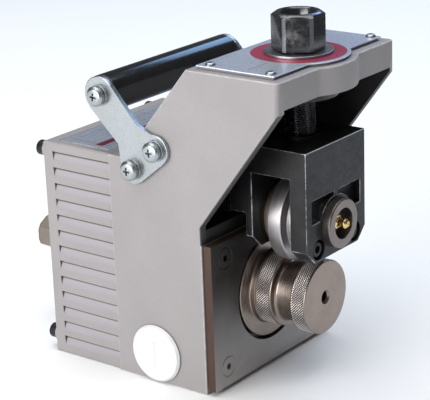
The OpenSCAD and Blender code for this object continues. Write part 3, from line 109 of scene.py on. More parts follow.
# Places on the housing, whose arm carries the round bulge in front of the feed screw
HALF_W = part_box("housing")[1].x
ARM_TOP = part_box("dial_plate")[0].z - 1.5 * MM
BULGE_R = FEED.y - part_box("housing")[0].y
ARM_FRONT = FEED.y - 29.1 * MM
ARM_CORNER_R, FLARE_R = 3.5 * MM, 8.0 * MM
CASE_FRONT, CASE_BACK = -36.0 * MM, 36.0 * MM
CASE_TOP, KNEE_Z, NOSE_Z = 148.0 * MM, 112.0 * MM, 191.5 * MM
SLOPE_LOW, SLOPE_HIGH = Vector((23.0 * MM, CASE_TOP)), Vector((-29.0 * MM, ARM_TOP))
SKIN = 0.06 * MM

# How far the envelopes of the casting reach past it where they don't shape it
PAST_BACK, PAST_FRONT, PAST_TOP, PAST_PAD = 10 * MM, 40 * MM, 20 * MM, 5 * MM

# Mesh steps of the envelopes' round corners and rims
CORNER_STEPS, FLARE_STEPS, BULGE_STEPS, RIM_SEGMENTS = 12, 10, 64, 5

# Ribs of the gear cover: height of the first ledge, distance between ledges, depth, and slope of their faces
RIB_TOP, RIB_PITCH, RIB_DEPTH = 141.7 * MM, 10.8 * MM, 2.6 * MM
RIB_UPWARD, RIB_SIDEWAYS = 0.3, 0.8

# Boxes that hold the throat's inner faces, which the paint darkens to near black as painted shade: half width,
# then front to back and low to high
THROAT_HALF_W = 58.1 * MM
THROAT_BOXES = (
    ((-150.0 * MM, -30.0 * MM), (100.3 * MM, 109.0 * MM)),
    ((-150.0 * MM, -9.0 * MM), (108.9 * MM, 180.0 * MM)),
    ((-150.0 * MM, -30.0 * MM), (179.9 * MM, 193.4 * MM)),
    ((-91.0 * MM, -30.0 * MM), (193.3 * MM, 203.1 * MM)))

# Front faces of the cheeks, darkened as painted shade: depth of the shaded skin, the heights between which it
# lies, and its tone
CHEEK_SKIN = 0.7 * MM
CHEEK_HEIGHTS = (100.3 * MM, 191.0 * MM)
CHEEK_SHADE_TONE = 0.2

# Thread of the feed screw: its reach, its mesh steps round the screw and along each turn, and its form
THREAD_LOW, THREAD_HIGH = 162.4 * MM, 213.5 * MM
THREAD_R = 10.0 * MM
THREAD_AROUND, THREAD_ROWS = 65, 8
THREAD_ROOT, THREAD_FLANK, THREAD_END = 0.12, 0.76, 1e-4

# Print on the dial plate: radii of the ring, reach of the index line and half its width
DIAL_RING = (20.5 * MM, 29.6 * MM)
INDEX_REACH, INDEX_HALF_W = (-52 * MM, -33 * MM), 0.4 * MM

# Print on the cover's label: the stripe's share from the rear and half its width, ruled lines, margins
STRIPE_PLACE, STRIPE_HALF_W = 0.72, 3 * MM
ROW_PITCH, ROW_SHARE, COLUMN_PITCH, COLUMN_SHARE = 4.5 * MM, 0.07, 24 * MM, 0.014
LABEL_SIDE_MARGIN, LABEL_END_MARGIN = 4 * MM, 3 * MM

# Mesh sides of turned pieces
SCREW_SIDES, SMALL_SCREW_SIDES, WASHER_SIDES, GRIP_SIDES, GROOVE_ROLL_SIDES = 48, 40, 64, 96, 160

# Foot of a cross recess against its mouth; width and lean of the gap in a spring washer
CROSS_TIP, SPLIT_WIDTH, SPLIT_LEAN = 0.45, 0.7 * MM, 0.7

# Shank of the M6 screws, and the thin line on the plug: half its length, half its width and its depth
SHANK_R = 3.0 * MM
PLUG_LINE_HALF_L, PLUG_LINE_HALF_W, PLUG_LINE_DEPTH = 7 * MM, 0.3 * MM, 0.4 * MM

# Soft lights: name, place, width and height, power, colour
LIGHTS = (
    ("sky_left", (-1.65, 0.25, 0.45), (1.6, 1.2), 34, (1.0, 0.985, 0.97)),
    ("sky_top", (-0.1, 0.2, 2.6), (3.2, 3.2), 88, (0.97, 0.985, 1.0)),
    ("sky_right", (2.0, 0.35, 1.5), (1.0, 0.8), 12, (0.35, 0.60, 1.0)))
LIGHT_AIM = Vector((0, 0, 0.1))
SKY_COLOUR, SKY_STRENGTH = (0.92, 0.95, 1.0, 1.0), 0.12
FLOOR_REACH, FLOOR_CELLS, FLOOR_DROP = 12.0, 24, 0.2 * MM

# Camera, found from the edges in the photograph
CAMERA_AZIMUTH, CAMERA_ELEVATION, CAMERA_ROLL = math.radians(-52.13), math.radians(18.69), math.radians(-2.12)
CAMERA_DISTANCE, CAMERA_SLIDE, CAMERA_RISE = 1079.1 * MM, -33.31 * MM, 105.86 * MM
CAMERA_ORIGIN = Vector((0, -36.0 * MM, 0))
FOCAL_PIXELS, IMAGE_WIDTH, SENSOR_WIDTH, FAR_CLIP = 1633.2, 430.0, 36.0, 60


class GrooverSizes(bpy.types.PropertyGroup):
    """Sizes of the finish that a user would change."""
    arm_round: FloatProperty(
        name="Arm rounding", description="Rounding of the arm's upper edges", default=1.2 * MM, unit="LENGTH")
    cast_round: FloatProperty(
        name="Casting rounding", description="Rounding of the casting's side edges", default=1.2 * MM,
        unit="LENGTH")
    cover_round: FloatProperty(
        name="Cover rounding", description="Rounding of the cover's upper side edges", default=2.0 * MM,
        unit="LENGTH")
    rib_round: FloatProperty(
        name="Rib rounding", description="Rounding of the cover's ribs and other edges", default=0.6 * MM,
        unit="LENGTH")
    machined_round: FloatProperty(
        name="Machined edge", description="Broken edge of machined pieces", default=0.4 * MM, unit="LENGTH")
    knurl_teeth: IntProperty(
        name="Knurl teeth", description="Knurl ridges round the drive roll", default=92, subtype="UNSIGNED")
    knurl_depth: FloatProperty(
        name="Knurl depth", description="Depth of the knurl's grooves", default=0.6 * MM, unit="LENGTH")
    thread_pitch: FloatProperty(
        name="Thread pitch", description="Rise of the feed screw in one turn", default=1.5 * MM,
        unit="LENGTH")
    thread_depth: FloatProperty(
        name="Thread depth", description="Depth of the feed screw's thread", default=0.9 * MM, unit="LENGTH")


class GrooverColours(bpy.types.PropertyGroup):
    """Colours that a user would change."""
    paint: FloatVectorProperty(
        name="Paint", description="Grey paint of the castings", default=(0.285, 0.270, 0.272),
        subtype="COLOR")
    steel: FloatVectorProperty(
        name="Steel", description="Ground steel of the rolls", default=(0.29, 0.24, 0.208), subtype="COLOR")
    plate: FloatVectorProperty(
        name="Wear plate", description="Blackened steel of the wear plate", default=(0.062, 0.058, 0.056),
        subtype="COLOR")
    black: FloatVectorProperty(
        name="Black oxide", description="Blackened block and screws", default=(0.016, 0.016, 0.017),
        subtype="COLOR")
    zinc: FloatVectorProperty(
        name="Zinc", description="Bright zinc of the brackets", default=(0.40, 0.42, 0.425), subtype="COLOR")
    grip: FloatVectorProperty(
        name="Grip", description="Black plastic of the handle", default=(0.006, 0.006, 0.007),
        subtype="COLOR")
    plug: FloatVectorProperty(
        name="Plug", description="White plastic of the side plug", default=(0.66, 0.66, 0.66),
        subtype="COLOR")
    label: FloatVectorProperty(
        name="Label", description="Printed aluminium of the labels", default=(0.62, 0.68, 0.80),
        subtype="COLOR")
    red: FloatVectorProperty(
        name="Red print", description="Red print on the labels", default=(0.30, 0.035, 0.075),
        subtype="COLOR")
    brass: FloatVectorProperty(
        name="Brass", description="Brass of the grease fitting", default=(0.83, 0.60, 0.27), subtype="COLOR")


class Tree:
    """Adds and links nodes in one shader or geometry tree."""

    def __init__(self, tree):
        self.tree = tree

    def add(self, kind, inputs=None, **settings):
        node = self.tree.nodes.new(kind)
        for key, value in settings.items():
            setattr(node, key, value)
        for key, value in (inputs or {}).items():
            self.feed(node.inputs[key], value)
        return node

    def feed(self, socket, value):
        if isinstance(value, bpy.types.NodeSocket):
            self.tree.links.new(value, socket)
        else:
            socket.default_value = value

    def math(self, operation, a, b=0.0, clamp=False):
        return self.add("ShaderNodeMath", {0: a, 1: b}, operation=operation, use_clamp=clamp).outputs[0]

    def plus(self, a, b, clamp=False):
        return self.math("ADD", a, b, clamp)

    def minus(self, a, b):
        return self.math("SUBTRACT", a, b)

    def times(self, a, b, clamp=False):
        return self.math("MULTIPLY", a, b, clamp)

    def over(self, a, b, clamp=False):
        return self.math("DIVIDE", a, b, clamp)

    def split(self, vector):
        return self.add("ShaderNodeSeparateXYZ", {0: vector}).outputs

    def join(self, x, y, z):
        return self.add("ShaderNodeCombineXYZ", {0: x, 1: y, 2: z}).outputs[0]

    def radius(self, a, b):
        """Distance from an axis, from the two places across it."""
        return self.math("SQRT", self.plus(self.times(a, a), self.times(b, b)))

    def inside(self, value, low, high):
        """1 where the value lies between two limits, with sharp edges."""
        return self.times(self.math("GREATER_THAN", value, low), self.math("LESS_THAN", value, high))

    def ridge(self, turn):
        """Triangle wave that is 1 at whole numbers and 0 half way."""
        return self.times(self.math("ABSOLUTE", self.minus(self.math("FRACT", turn), 0.5)), 2.0)


class Finish(Tree):
    """One procedural material, read from the piece's own object coordinates."""

    # Part of the noise that is spread out between the two ends, and share of the angle in turning marks
    marks = (0.3, 0.7)
    angle_share = 0.15 * MM

    def __init__(self, name, metallic, roughness):
        self.material = bpy.data.materials.new(name)
        self.material.use_nodes = True
        super().__init__(self.material.node_tree)
        self.shader = self.tree.nodes["Principled BSDF"]
        self.place = self.add("ShaderNodeTexCoord").outputs["Object"]
        self.set("Metallic", metallic)
        self.set("Roughness", roughness)

    def set(self, socket, value):
        self.feed(self.shader.inputs[socket], value)

    def noise(self, size, detail=3.0, place=None, stretch=(1, 1, 1), rough=0.55):
        """Noise whose marks are about the given size in metres."""
        vector = self.add("ShaderNodeMapping", {"Vector": place or self.place, "Scale": stretch}).outputs[0]
        settings = {"Vector": vector, "Scale": 1 / size, "Detail": detail, "Roughness": rough}
        return self.add("ShaderNodeTexNoise", settings).outputs[0]

    def spread(self, value, low, high, to_low=0.0, to_high=1.0):
        settings = {0: value, 1: low, 2: high, 3: to_low, 4: to_high}
        return self.add("ShaderNodeMapRange", settings).outputs[0]

    def mix(self, share, a, b):
        """Colour between a and b."""
        node = self.add("ShaderNodeMix", data_type="RGBA")
        for index, value in ((0, share), (6, a), (7, b)):
            self.feed(node.inputs[index], opaque(value))
        return node.outputs[2]

    def cloud(self, size, a, b, detail=3.0, limits=marks):
        """Colour that drifts between a and b in patches of about the given size."""
        return self.mix(self.spread(self.noise(size, detail), *limits), a, b)

    def sheen(self, size, low, high, detail=3.0):
        """Roughness that drifts between two values."""
        self.set("Roughness", self.spread(self.noise(size, detail), *self.marks, low, high))

    def bump(self, height, strength, distance):
        settings = {"Height": height, "Strength": strength, "Distance": distance}
        self.set("Normal", self.add("ShaderNodeBump", settings).outputs[0])

    def pebble(self, size, strength, distance, detail=3.0):
        """Fine uneven surface."""
        self.bump(self.noise(size, detail), strength, distance)

    def brushed(self, lines, low, high, distance):
        """Fine lines that change the roughness between two values and stand up a little."""
        self.set("Roughness", self.spread(lines, *self.marks, low, high))
        self.bump(lines, 0.10, distance)

    def turned(self, axis, along_z=False):
        """Coordinates of a piece turned about an axis along Y or Z: radius, length, a little of the angle."""
        x, y, z = self.split(self.place)
        length, across = (z, self.minus(y, axis.y)) if along_z else (y, self.minus(z, axis.z))
        angle = self.times(self.math("ARCTAN2", across, x), self.angle_share)
        return self.join(self.radius(x, across), length, angle)


def opaque(value):
    """A colour of three numbers as four, and anything else as it is."""
    if isinstance(value, (bpy.types.NodeSocket, float)):
        return value
    return (*value[:3], 1.0)


def shade(colour, *factors):
    """A colour times one factor, or times one factor for each channel."""
    factors = factors * (3 // len(factors))
    return tuple(min(1.0, channel * factor) for channel, factor in zip(colour, factors))


def colours():
    return bpy.context.scene.groover_colours


def shared(make):
    """Makes each material once and finds it by name afterwards; its name can be the function's own."""
    @functools.wraps(make)
    def find(name=make.__name__, *values, **settings):
        return bpy.data.materials.get(name) or make(name, *values, **settings)
    return find


def throat(f):
    """1 on the throat's inner faces, where the paint takes its near-black painted shade."""
    x, y, z = f.split(f.place)
    found = 0.0
    for (front, back), (low, high) in THROAT_BOXES:
        found = f.math("MAXIMUM", f.times(f.inside(y, front, back), f.inside(z, low, high)), found)
    return f.times(found, f.inside(x, -THROAT_HALF_W, THROAT_HALF_W))


def cheek_front(f):
    """1 on the front faces of the cheeks, from the wear plate up to the arm, where the paint is darkened as
    painted shade.
    """
    _, y, z = f.split(f.place)
    run, rise = ARM_FRONT - CASE_FRONT, NOSE_Z - KNEE_Z
    length = math.hypot(run, rise)
    ahead = f.minus(y, CASE_FRONT)
    above = f.minus(z, KNEE_Z)
    slope = f.minus(f.times(ahead, rise / length), f.times(above, run / length))
    depth = f.math("MAXIMUM", ahead, slope)
    return f.times(f.math("LESS_THAN", depth, CHEEK_SKIN), f.inside(z, *CHEEK_HEIGHTS))


@shared
def cast_paint(name):
    """Satin paint with a fine pebble, with painted shade on the fronts of the cheeks and near-black painted shade
    in the throat.
    """
    f = Finish(name, metallic=0.0, roughness=0.5)
    base = tuple(colours().paint)
    tone = f.cloud(45 * MM, shade(base, 0.95), shade(base, 1.04), detail=4.0, limits=(0.35, 0.65))
    speck = f.spread(f.noise(0.9 * MM, detail=2.0), 0.38, 0.62)
    tone = f.mix(f.times(speck, 0.35), tone, shade(base, 0.86))
    # Painted shade on the fronts of the cheeks.
    tone = f.mix(cheek_front(f), tone, shade(base, CHEEK_SHADE_TONE))
    # Painted shade: the throat's inner faces near black.
    f.set("Base Color", f.mix(throat(f), tone, shade(base, 0.07)))
    f.sheen(3 * MM, 0.40, 0.56)
    pebble = f.plus(f.noise(1.1 * MM, detail=2.0), f.times(f.noise(12 * MM), 0.8))
    f.bump(pebble, strength=0.30, distance=0.25 * MM)
    return f.material


@shared
def paint_edge(name):
    """The castings' paint on rounded edges, glossier and lightened as a painted highlight."""
    f = Finish(name, metallic=0.0, roughness=0.28)
    base = tuple(colours().paint)
    # Painted highlight: the paint lightened along the rounded edges; painted shade where they run along the cheek
    # fronts.
    tone = f.cloud(4 * MM, shade(base, 1.25), shade(base, 1.6), limits=(0.35, 0.65))
    f.set("Base Color", f.mix(cheek_front(f), tone, shade(base, CHEEK_SHADE_TONE)))
    f.pebble(1.1 * MM, strength=0.12, distance=0.1 * MM, detail=2.0)
    return f.material


@shared
def rib_paint(name):
    """The castings' paint on the sloped ribs: lighter and bluer just below each ledge as painted light, with a
    thin painted shadow line right under each ledge.
    """
    f = Finish(name, metallic=0.0, roughness=0.5)
    base = tuple(colours().paint)
    _, _, z = f.split(f.place)
    ledge = f.math("FRACT", f.over(f.minus(RIB_TOP, z), RIB_PITCH))
    # Painted light: lighter and bluer just below each ledge, fading down the slope.
    painted_light = f.mix(f.spread(ledge, 0.1, 0.55), shade(base, 1.22, 1.23, 1.31), shade(base, 0.96, 0.97, 1.03))
    # Painted shadow: a thin dark line right under each ledge.
    painted_shade = f.spread(ledge, 0.115, 0.17, 1.0, 0.0)
    f.set("Base Color", f.mix(painted_shade, painted_light, shade(base, 0.32, 0.30, 0.27)))
    f.pebble(1.1 * MM, strength=0.30, distance=0.25 * MM, detail=2.0)
    return f.material


@shared
def turned_steel(name, axis, tint, roughness=0.30, along_z=False, darker_radii=None):
    """Steel with fine turning marks round an axis along Y or Z; a knurl is lighter, bare steel and partly a
    painted highlight, and darker towards the foot of its grooves between two radii.
    """
    f = Finish(name, metallic=1.0, roughness=roughness)
    ring = f.turned(axis, along_z)
    tone = f.cloud(14 * MM, shade(tint, 0.90), shade(tint, 1.08), detail=4.0)
    if darker_radii:
        mark = f.add("ShaderNodeAttribute", attribute_name="knurled").outputs["Fac"]
        deep = f.spread(f.split(ring)[0], *darker_radii, 1.0, 0.0)
        # The knurled band lighter: bare steel and partly a painted highlight.
        tone = f.mix(mark, tone, (0.92, 0.86, 0.83))
        # Darker towards the foot of the knurl's grooves.
        tone = f.mix(f.times(mark, deep), tone, shade(tint, 0.10))
    f.set("Base Color", tone)
    f.brushed(f.noise(0.22 * MM, place=ring), roughness - 0.07, roughness + 0.10, 0.03 * MM)
    return f.material


@shared
def plain_steel(name, tint, roughness, grain=(1, 1, 1), metallic=1.0):
    """Steel with a soft grain, drawn out along one axis where the grain says so."""
    f = Finish(name, metallic, roughness)
    f.set("Base Color", f.cloud(18 * MM, shade(tint, 0.88), shade(tint, 1.10), detail=4.0))
    lines = f.noise(0.5 * MM, detail=4.0, stretch=grain)
    f.brushed(lines, roughness - 0.06, roughness + 0.09, 0.05 * MM)
    return f.material


@shared
def plate_steel(name):
    """Blackened plate, lighter towards its foot as a painted reflection of the floor."""
    f = Finish(name, metallic=0.85, roughness=0.42)
    base = tuple(colours().plate)
    low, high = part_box("front_plate")
    _, _, z = f.split(f.place)
    # Painted reflection: the plate lightens towards its foot.
    foot = f.math("POWER", f.spread(z, low.z, high.z, 0.95, 0.0), 1.8)
    patches = f.spread(f.noise(18 * MM, detail=4.0), *f.marks, 0.0, 0.08)
    f.set("Base Color", f.mix(f.plus(foot, patches, clamp=True), shade(base, 0.28), shade(base, 6.5)))
    f.brushed(f.noise(0.5 * MM, detail=4.0, stretch=(0.12, 1, 1)), 0.36, 0.51, 0.05 * MM)
    return f.material


@shared
def black_oxide(name, lift=1.0, roughness=0.36, metallic=0.55):
    """Blackened steel with faint rub marks."""
    f = Finish(name, metallic, roughness)
    base = shade(tuple(colours().black), lift)
    f.set("Base Color", f.cloud(9 * MM, base, shade(base, 1.5), detail=5.0, limits=(0.42, 0.70)))
    f.sheen(2.5 * MM, roughness - 0.08, roughness + 0.14, detail=4.0)
    f.pebble(0.7 * MM, strength=0.18, distance=0.08 * MM)
    return f.material


@shared
def rubbed_edge(name):
    """Edges of the black block, worn to grey steel in places, with a painted highlight along its upper front edge.
    """
    f = Finish(name, metallic=0.45, roughness=0.34)
    low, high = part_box("slide_block")
    worn = f.spread(f.noise(5 * MM, detail=5.0, rough=0.7), 0.40, 0.62)
    tone = f.mix(worn, shade(tuple(colours().black), 3.0), (0.40, 0.41, 0.45))
    _, y, z = f.split(f.place)
    # Painted highlight along the block's upper front edge.
    brow_highlight = f.times(f.math("GREATER_THAN", z, high.z - MM), f.math("LESS_THAN", y, low.y + MM))
    f.set("Base Color", f.mix(brow_highlight, tone, (0.72, 0.75, 0.82)))
    f.pebble(0.8 * MM, strength=0.2, distance=0.06 * MM)
    return f.material


@shared
def zinc_plate(name):
    """Bright zinc with a bluish cloud."""
    f = Finish(name, metallic=1.0, roughness=0.3)
    base = tuple(colours().zinc)
    f.set("Base Color", f.cloud(22 * MM, shade(base, 0.94), shade(base, 0.96, 1.0, 1.05)))
    f.sheen(1.6 * MM, 0.24, 0.40, detail=4.0)
    f.pebble(0.6 * MM, strength=0.06, distance=0.04 * MM)
    return f.material


@shared
def grip_plastic(name):
    """Glossy black plastic with a faint orange peel."""
    f = Finish(name, metallic=0.0, roughness=0.2)
    base = tuple(colours().grip)
    f.set("Specular IOR Level", 0.6)
    f.set("Base Color", f.cloud(6 * MM, base, shade(base, 1.8)))
    f.sheen(2 * MM, 0.13, 0.20)
    f.pebble(1.2 * MM, strength=0.06, distance=0.05 * MM)
    return f.material


@shared
def plug_plastic(name):
    """White moulded plastic."""
    f = Finish(name, metallic=0.0, roughness=0.4)
    base = tuple(colours().plug)
    f.set("Base Color", f.cloud(9 * MM, base, shade(base, 0.96)))
    f.sheen(2 * MM, 0.34, 0.46)
    f.pebble(1.0 * MM, strength=0.05, distance=0.05 * MM)
    return f.material


@shared
def soft_black(name, tint):
    """Rubber and fibre, and the painted shade on the ribs' end walls; dull with a fine grain."""
    f = Finish(name, metallic=0.0, roughness=0.75)
    f.set("Base Color", f.cloud(3 * MM, tint, shade(tint, 1.5)))
    f.pebble(0.5 * MM, strength=0.3, distance=0.06 * MM, detail=4.0)
    return f.material


@shared
def brass_finish(name, lift=1.0, roughness=0.24):
    """Bright brass or dull bronze."""
    f = Finish(name, metallic=1.0, roughness=roughness)
    base = shade(tuple(colours().brass), lift)
    f.set("Base Color", f.cloud(2.5 * MM, shade(base, 0.85), base))
    f.sheen(0.8 * MM, roughness - 0.06, roughness + 0.08)
    f.pebble(0.5 * MM, strength=0.08, distance=0.03 * MM)
    return f.material


def printed_metal(f, lift=1.0):
    """Base colour and sheen that both labels share."""
    base = shade(tuple(colours().label), lift)
    f.sheen(1.5 * MM, 0.26, 0.38, detail=4.0)
    f.pebble(0.8 * MM, strength=0.05, distance=0.03 * MM)
    return f.cloud(30 * MM, shade(base, 0.92), shade(base, 1.06))


@shared
def dial_print(name):
    """Label metal with a red ring round the feed screw and one thin index line."""
    f = Finish(name, metallic=0.75, roughness=0.3)
    x, y, _ = f.split(f.place)
    y = f.minus(y, FEED.y)
    ring = f.inside(f.radius(x, y), *DIAL_RING)
    index = f.times(f.inside(x, *INDEX_REACH), f.inside(y, -INDEX_HALF_W, INDEX_HALF_W))
    print_share = f.math("MAXIMUM", ring, f.times(index, 0.6))
    f.set("Base Color", f.mix(print_share, printed_metal(f, lift=1.15), tuple(colours().red)))
    f.set("Metallic", f.spread(ring, 0.0, 1.0, 0.75, 0.1))
    return f.material


@shared
def label_print(name):
    """Label metal with a red stripe and thin ruled lines."""
    f = Finish(name, metallic=0.75, roughness=0.3)
    low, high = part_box("cover_label")
    x, y, _ = f.split(f.place)
    stripe_y = high.y - STRIPE_PLACE * (high.y - low.y)
    stripe = f.inside(y, stripe_y - STRIPE_HALF_W, stripe_y + STRIPE_HALF_W)
    field = f.times(f.inside(x, low.x + LABEL_SIDE_MARGIN, high.x - LABEL_SIDE_MARGIN),
                    f.inside(y, low.y + LABEL_END_MARGIN, high.y - LABEL_END_MARGIN))
    rows = f.math("LESS_THAN", f.math("FRACT", f.over(y, ROW_PITCH)), ROW_SHARE)
    columns = f.math("LESS_THAN", f.math("FRACT", f.over(x, COLUMN_PITCH)), COLUMN_SHARE)
    rules = f.times(f.math("MAXIMUM", rows, columns), field)
    tone = f.mix(f.times(rules, 0.75), printed_metal(f), (0.03, 0.03, 0.04))
    f.set("Base Color", f.mix(f.times(stripe, field), tone, tuple(colours().red)))
    return f.material


def cad_copy(node):
    """A merged copy of a CAD node whose flat faces are joined."""
    bm = bmesh.new()
    bm.from_mesh(frame["nodes"][node].data)
    bmesh.ops.remove_doubles(bm, verts=bm.verts, dist=MERGE)
    bmesh.ops.dissolve_limit(bm, angle_limit=FLAT, verts=bm.verts, edges=bm.edges)
    bm.normal_update()
    return bm


def solid_beyond(node, place, way):
    """The part of a CAD solid that lies beyond a plane, closed where it is cut."""
    bm = cad_copy(node)
    done = bmesh.ops.bisect_plane(
        bm, geom=bm.verts[:] + bm.edges[:] + bm.faces[:], dist=MERGE, plane_co=place, plane_no=way,
        clear_inner=True)
    rim = [item for item in done["geom_cut"] if isinstance(item, bmesh.types.BMEdge)]
    bmesh.ops.holes_fill(bm, edges=rim, sides=0)
    bm.normal_update()
    return bm


def bore_faces(bm):
    """Facets of round holes: their neighbours lean in a little."""
    found = set()
    for edge in bm.edges:
        if len(edge.link_faces) == 2 and not edge.is_convex and FACET < edge.calc_face_angle(0) < SHARP:
            found.update(edge.link_faces)
    return found


def weigh_edges(bm, rule):
    """Weighs each sharp convex edge by the rounding that the rule says, and gives the widest rounding."""
    layer = bm.edges.layers.float.new("bevel_weight_edge")
    bores = bore_faces(bm)
    found = []
    for edge in bm.edges:
        if len(edge.link_faces) != 2 or not edge.is_convex or edge.calc_face_angle(0) < SHARP:
            continue
        on_bore = any(face in bores for face in edge.link_faces)
        a, b = (vert.co for vert in edge.verts)
        width = rule((a + b) / 2, (b - a).normalized(), on_bore)
        if width:
            found.append((edge, width))
    widest = max((width for _, width in found), default=0.0)
    for edge, width in found:
        edge[layer] = width / widest
    return widest


def settle(obj):
    """Turns an object's modifiers into a plain mesh."""
    graph = bpy.context.evaluated_depsgraph_get()
    mesh = bpy.data.meshes.new_from_object(
        obj.evaluated_get(graph), preserve_all_data_layers=True, depsgraph=graph)
    obj.modifiers.clear()
    old = obj.data
    obj.data = mesh
    mesh.name = obj.name
    if old.users == 0:
        bpy.data.meshes.remove(old)


def smooth(mesh, limit):
    """Shades a mesh smooth between the edges that bend more than the limit."""
    mesh.shade_smooth()
    mesh.set_sharp_from_angle(angle=limit)


def new_object(name, bm, materials):
    """Object at the origin from a bmesh, shaded smooth between its sharp edges."""
    mesh = bpy.data.meshes.new(name)
    bm.to_mesh(mesh)
    bm.free()
    smooth(mesh, SHARP)
    for material in materials:
        mesh.materials.append(material)
    obj = bpy.data.objects.new(name, mesh)
    bpy.context.scene.collection.objects.link(obj)
    return obj


def place_piece(obj, *nodes):
    """The piece rides with its CAD nodes' body and stands for them, which are hidden."""
    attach(obj, BODY[nodes[0]])
    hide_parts(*nodes)
    return obj


def bevel_by_weight(obj, widest, segments, material=-1):
    """Rounds the weighed edges; a material index covers the rounded faces."""
    bevel = obj.modifiers.new("Rounding", "BEVEL")
    bevel.limit_method = "WEIGHT"
    bevel.width = widest
    bevel.segments = segments
    bevel.use_clamp_overlap = False
    bevel.harden_normals = True
    bevel.material = material
    settle(obj)


def even_shading(obj, limit):
    """Keeps flat faces flat in the light, so that only the rounded strips between them bend it."""
    smooth(obj.data, limit)
    even = obj.modifiers.new("Even shading", "WEIGHTED_NORMAL")
    even.keep_sharp = True
    settle(obj)


def carve(obj, tool, operation):
    """Cuts an object with a closed tool, or keeps what lies in both, and removes the tool."""
    boolean = obj.modifiers.new("Carve", "BOOLEAN")
    boolean.operation = operation
    boolean.solver = "EXACT"
    boolean.object = tool
    settle(obj)
    bpy.data.objects.remove(tool)


def even_rule(width, bores=False):
    """The same rounding on every edge, with or without the rims of round holes."""
    def rule(middle, direction, on_bore):
        return width if bores or not on_bore else 0.0
    return rule


def rounded_node(name, node, width, materials, bores=False, segments=3):
    """A CAD node with evenly rounded edges; the last material covers the rounded faces."""
    bm = cad_copy(node)
    widest = weigh_edges(bm, even_rule(width, bores))
    obj = new_object(name, bm, materials)
    bevel_by_weight(obj, widest, segments, len(materials) - 1)
    return place_piece(obj, node)


def arcs(points, steps=5):
    """Outline of (radius, place, fillet) points as (radius, place) pairs, with each fillet an arc."""
    outline = []
    for i, (r, t, fillet) in enumerate(points):
        here = Vector((r, t))
        if not fillet or i in (0, len(points) - 1):
            outline.append(here)
            continue
        before = Vector(points[i - 1][:2]) - here
        after = Vector(points[i + 1][:2]) - here
        half = before.angle(after) / 2
        reach = min(fillet / math.tan(half), before.length / 2, after.length / 2)
        radius = reach * math.tan(half)
        centre = here + (before.normalized() + after.normalized()).normalized() * (radius / math.sin(half))
        start = here + before.normalized() * reach - centre
        turn = start.angle_signed(here + after.normalized() * reach - centre)
        for k in range(steps + 1):
            outline.append(centre + Matrix.Rotation(-turn * k / steps, 2) @ start)
    return outline


def lathe(outline, origin, along, segments):
    """Turns an outline of (radius, place) about an axis; ends at no radius close in a pole."""
    bm = bmesh.new()
    side = along.orthogonal().normalized()
    other = along.cross(side)
    angles = [FULL_TURN * i / segments for i in range(segments)]
    rings = []
    for r, t in outline:
        middle = origin + along * t
        if r < MERGE:
            rings.append([bm.verts.new(middle)])
            continue
        rings.append([bm.verts.new(middle + (side * math.cos(a) + other * math.sin(a)) * r) for a in angles])
    for low, high in zip(rings, rings[1:]):
        for i in range(segments):
            k = i + 1
            corners = [low[i % len(low)], low[k % len(low)], high[k % len(high)], high[i % len(high)]]
            bm.faces.new(list(dict.fromkeys(corners)))
    bmesh.ops.recalc_face_normals(bm, faces=bm.faces)
    return bm


def lathe_ring(outline, origin, along, segments):
    """Turns an outline that ends where it starts into a ring."""
    bm = lathe(outline, origin, along, segments)
    bmesh.ops.remove_doubles(bm, verts=bm.verts, dist=MERGE)
    bmesh.ops.recalc_face_normals(bm, faces=bm.faces)
    return bm


def node_group(name, inputs):
    """New geometry tree with a geometry input and named inputs; gives its nodes and its input sockets."""
    tree = bpy.data.node_groups.new(name, "GeometryNodeTree")
    tree.interface.new_socket(name="Geometry", in_out="INPUT", socket_type="NodeSocketGeometry")
    tree.interface.new_socket(name="Geometry", in_out="OUTPUT", socket_type="NodeSocketGeometry")
    for label, kind in inputs.items():
        tree.interface.new_socket(name=label, in_out="INPUT", socket_type="NodeSocket" + kind)
    nodes = Tree(tree)
    return nodes, nodes.add("NodeGroupInput").outputs


def close_group(nodes, geometry, material):
    """Ends a geometry tree with realised, finished geometry, and gives the tree."""
    real = nodes.add("GeometryNodeRealizeInstances", {0: geometry}).outputs[0]
    done = nodes.add("GeometryNodeSetMaterial", {"Geometry": real, "Material": material}).outputs[0]
    nodes.add("NodeGroupOutput", {0: done})
    return nodes.tree


def run_group(obj, tree, values):
    """Runs a geometry tree on an object with its named inputs set, and keeps the result as a plain mesh."""
    modifier = obj.modifiers.new(tree.name, "NODES")
    modifier.node_group = tree
    for item in tree.interface.items_tree:
        if item.in_out == "INPUT" and item.name in values:
            modifier[item.identifier] = values[item.name]
    settle(obj)
    smooth(obj.data, SHARP)


def knurl_group():
    """Presses crossed grooves into the vertices that carry a knurled mark."""
    nodes, given = node_group("knurl", {
        "Axis height": "Float", "Teeth": "Float", "Pitch": "Float", "Depth": "Float", "Material": "Material"})
    x, y, z = nodes.split(nodes.add("GeometryNodeInputPosition").outputs[0])
    z = nodes.minus(z, given["Axis height"])
    turn = nodes.times(nodes.over(nodes.math("ARCTAN2", z, x), FULL_TURN), given["Teeth"])
    step = nodes.over(y, given["Pitch"])
    wave = nodes.math("MINIMUM", nodes.ridge(nodes.plus(turn, step)), nodes.ridge(nodes.minus(turn, step)))
    groove = nodes.times(nodes.minus(0.5, wave), 2.0, clamp=True)
    mark = nodes.add("GeometryNodeInputNamedAttribute", {"Name": "knurled"}, data_type="FLOAT").outputs[0]
    sink = nodes.times(nodes.times(groove, mark), given["Depth"])
    inward = nodes.over(nodes.times(sink, -1.0), nodes.math("MAXIMUM", nodes.radius(x, z), MM))
    offset = nodes.join(nodes.times(x, inward), 0.0, nodes.times(z, inward))
    moved = nodes.add("GeometryNodeSetPosition", {"Geometry": given["Geometry"], "Offset": offset}).outputs[0]
    return close_group(nodes, moved, given["Material"])


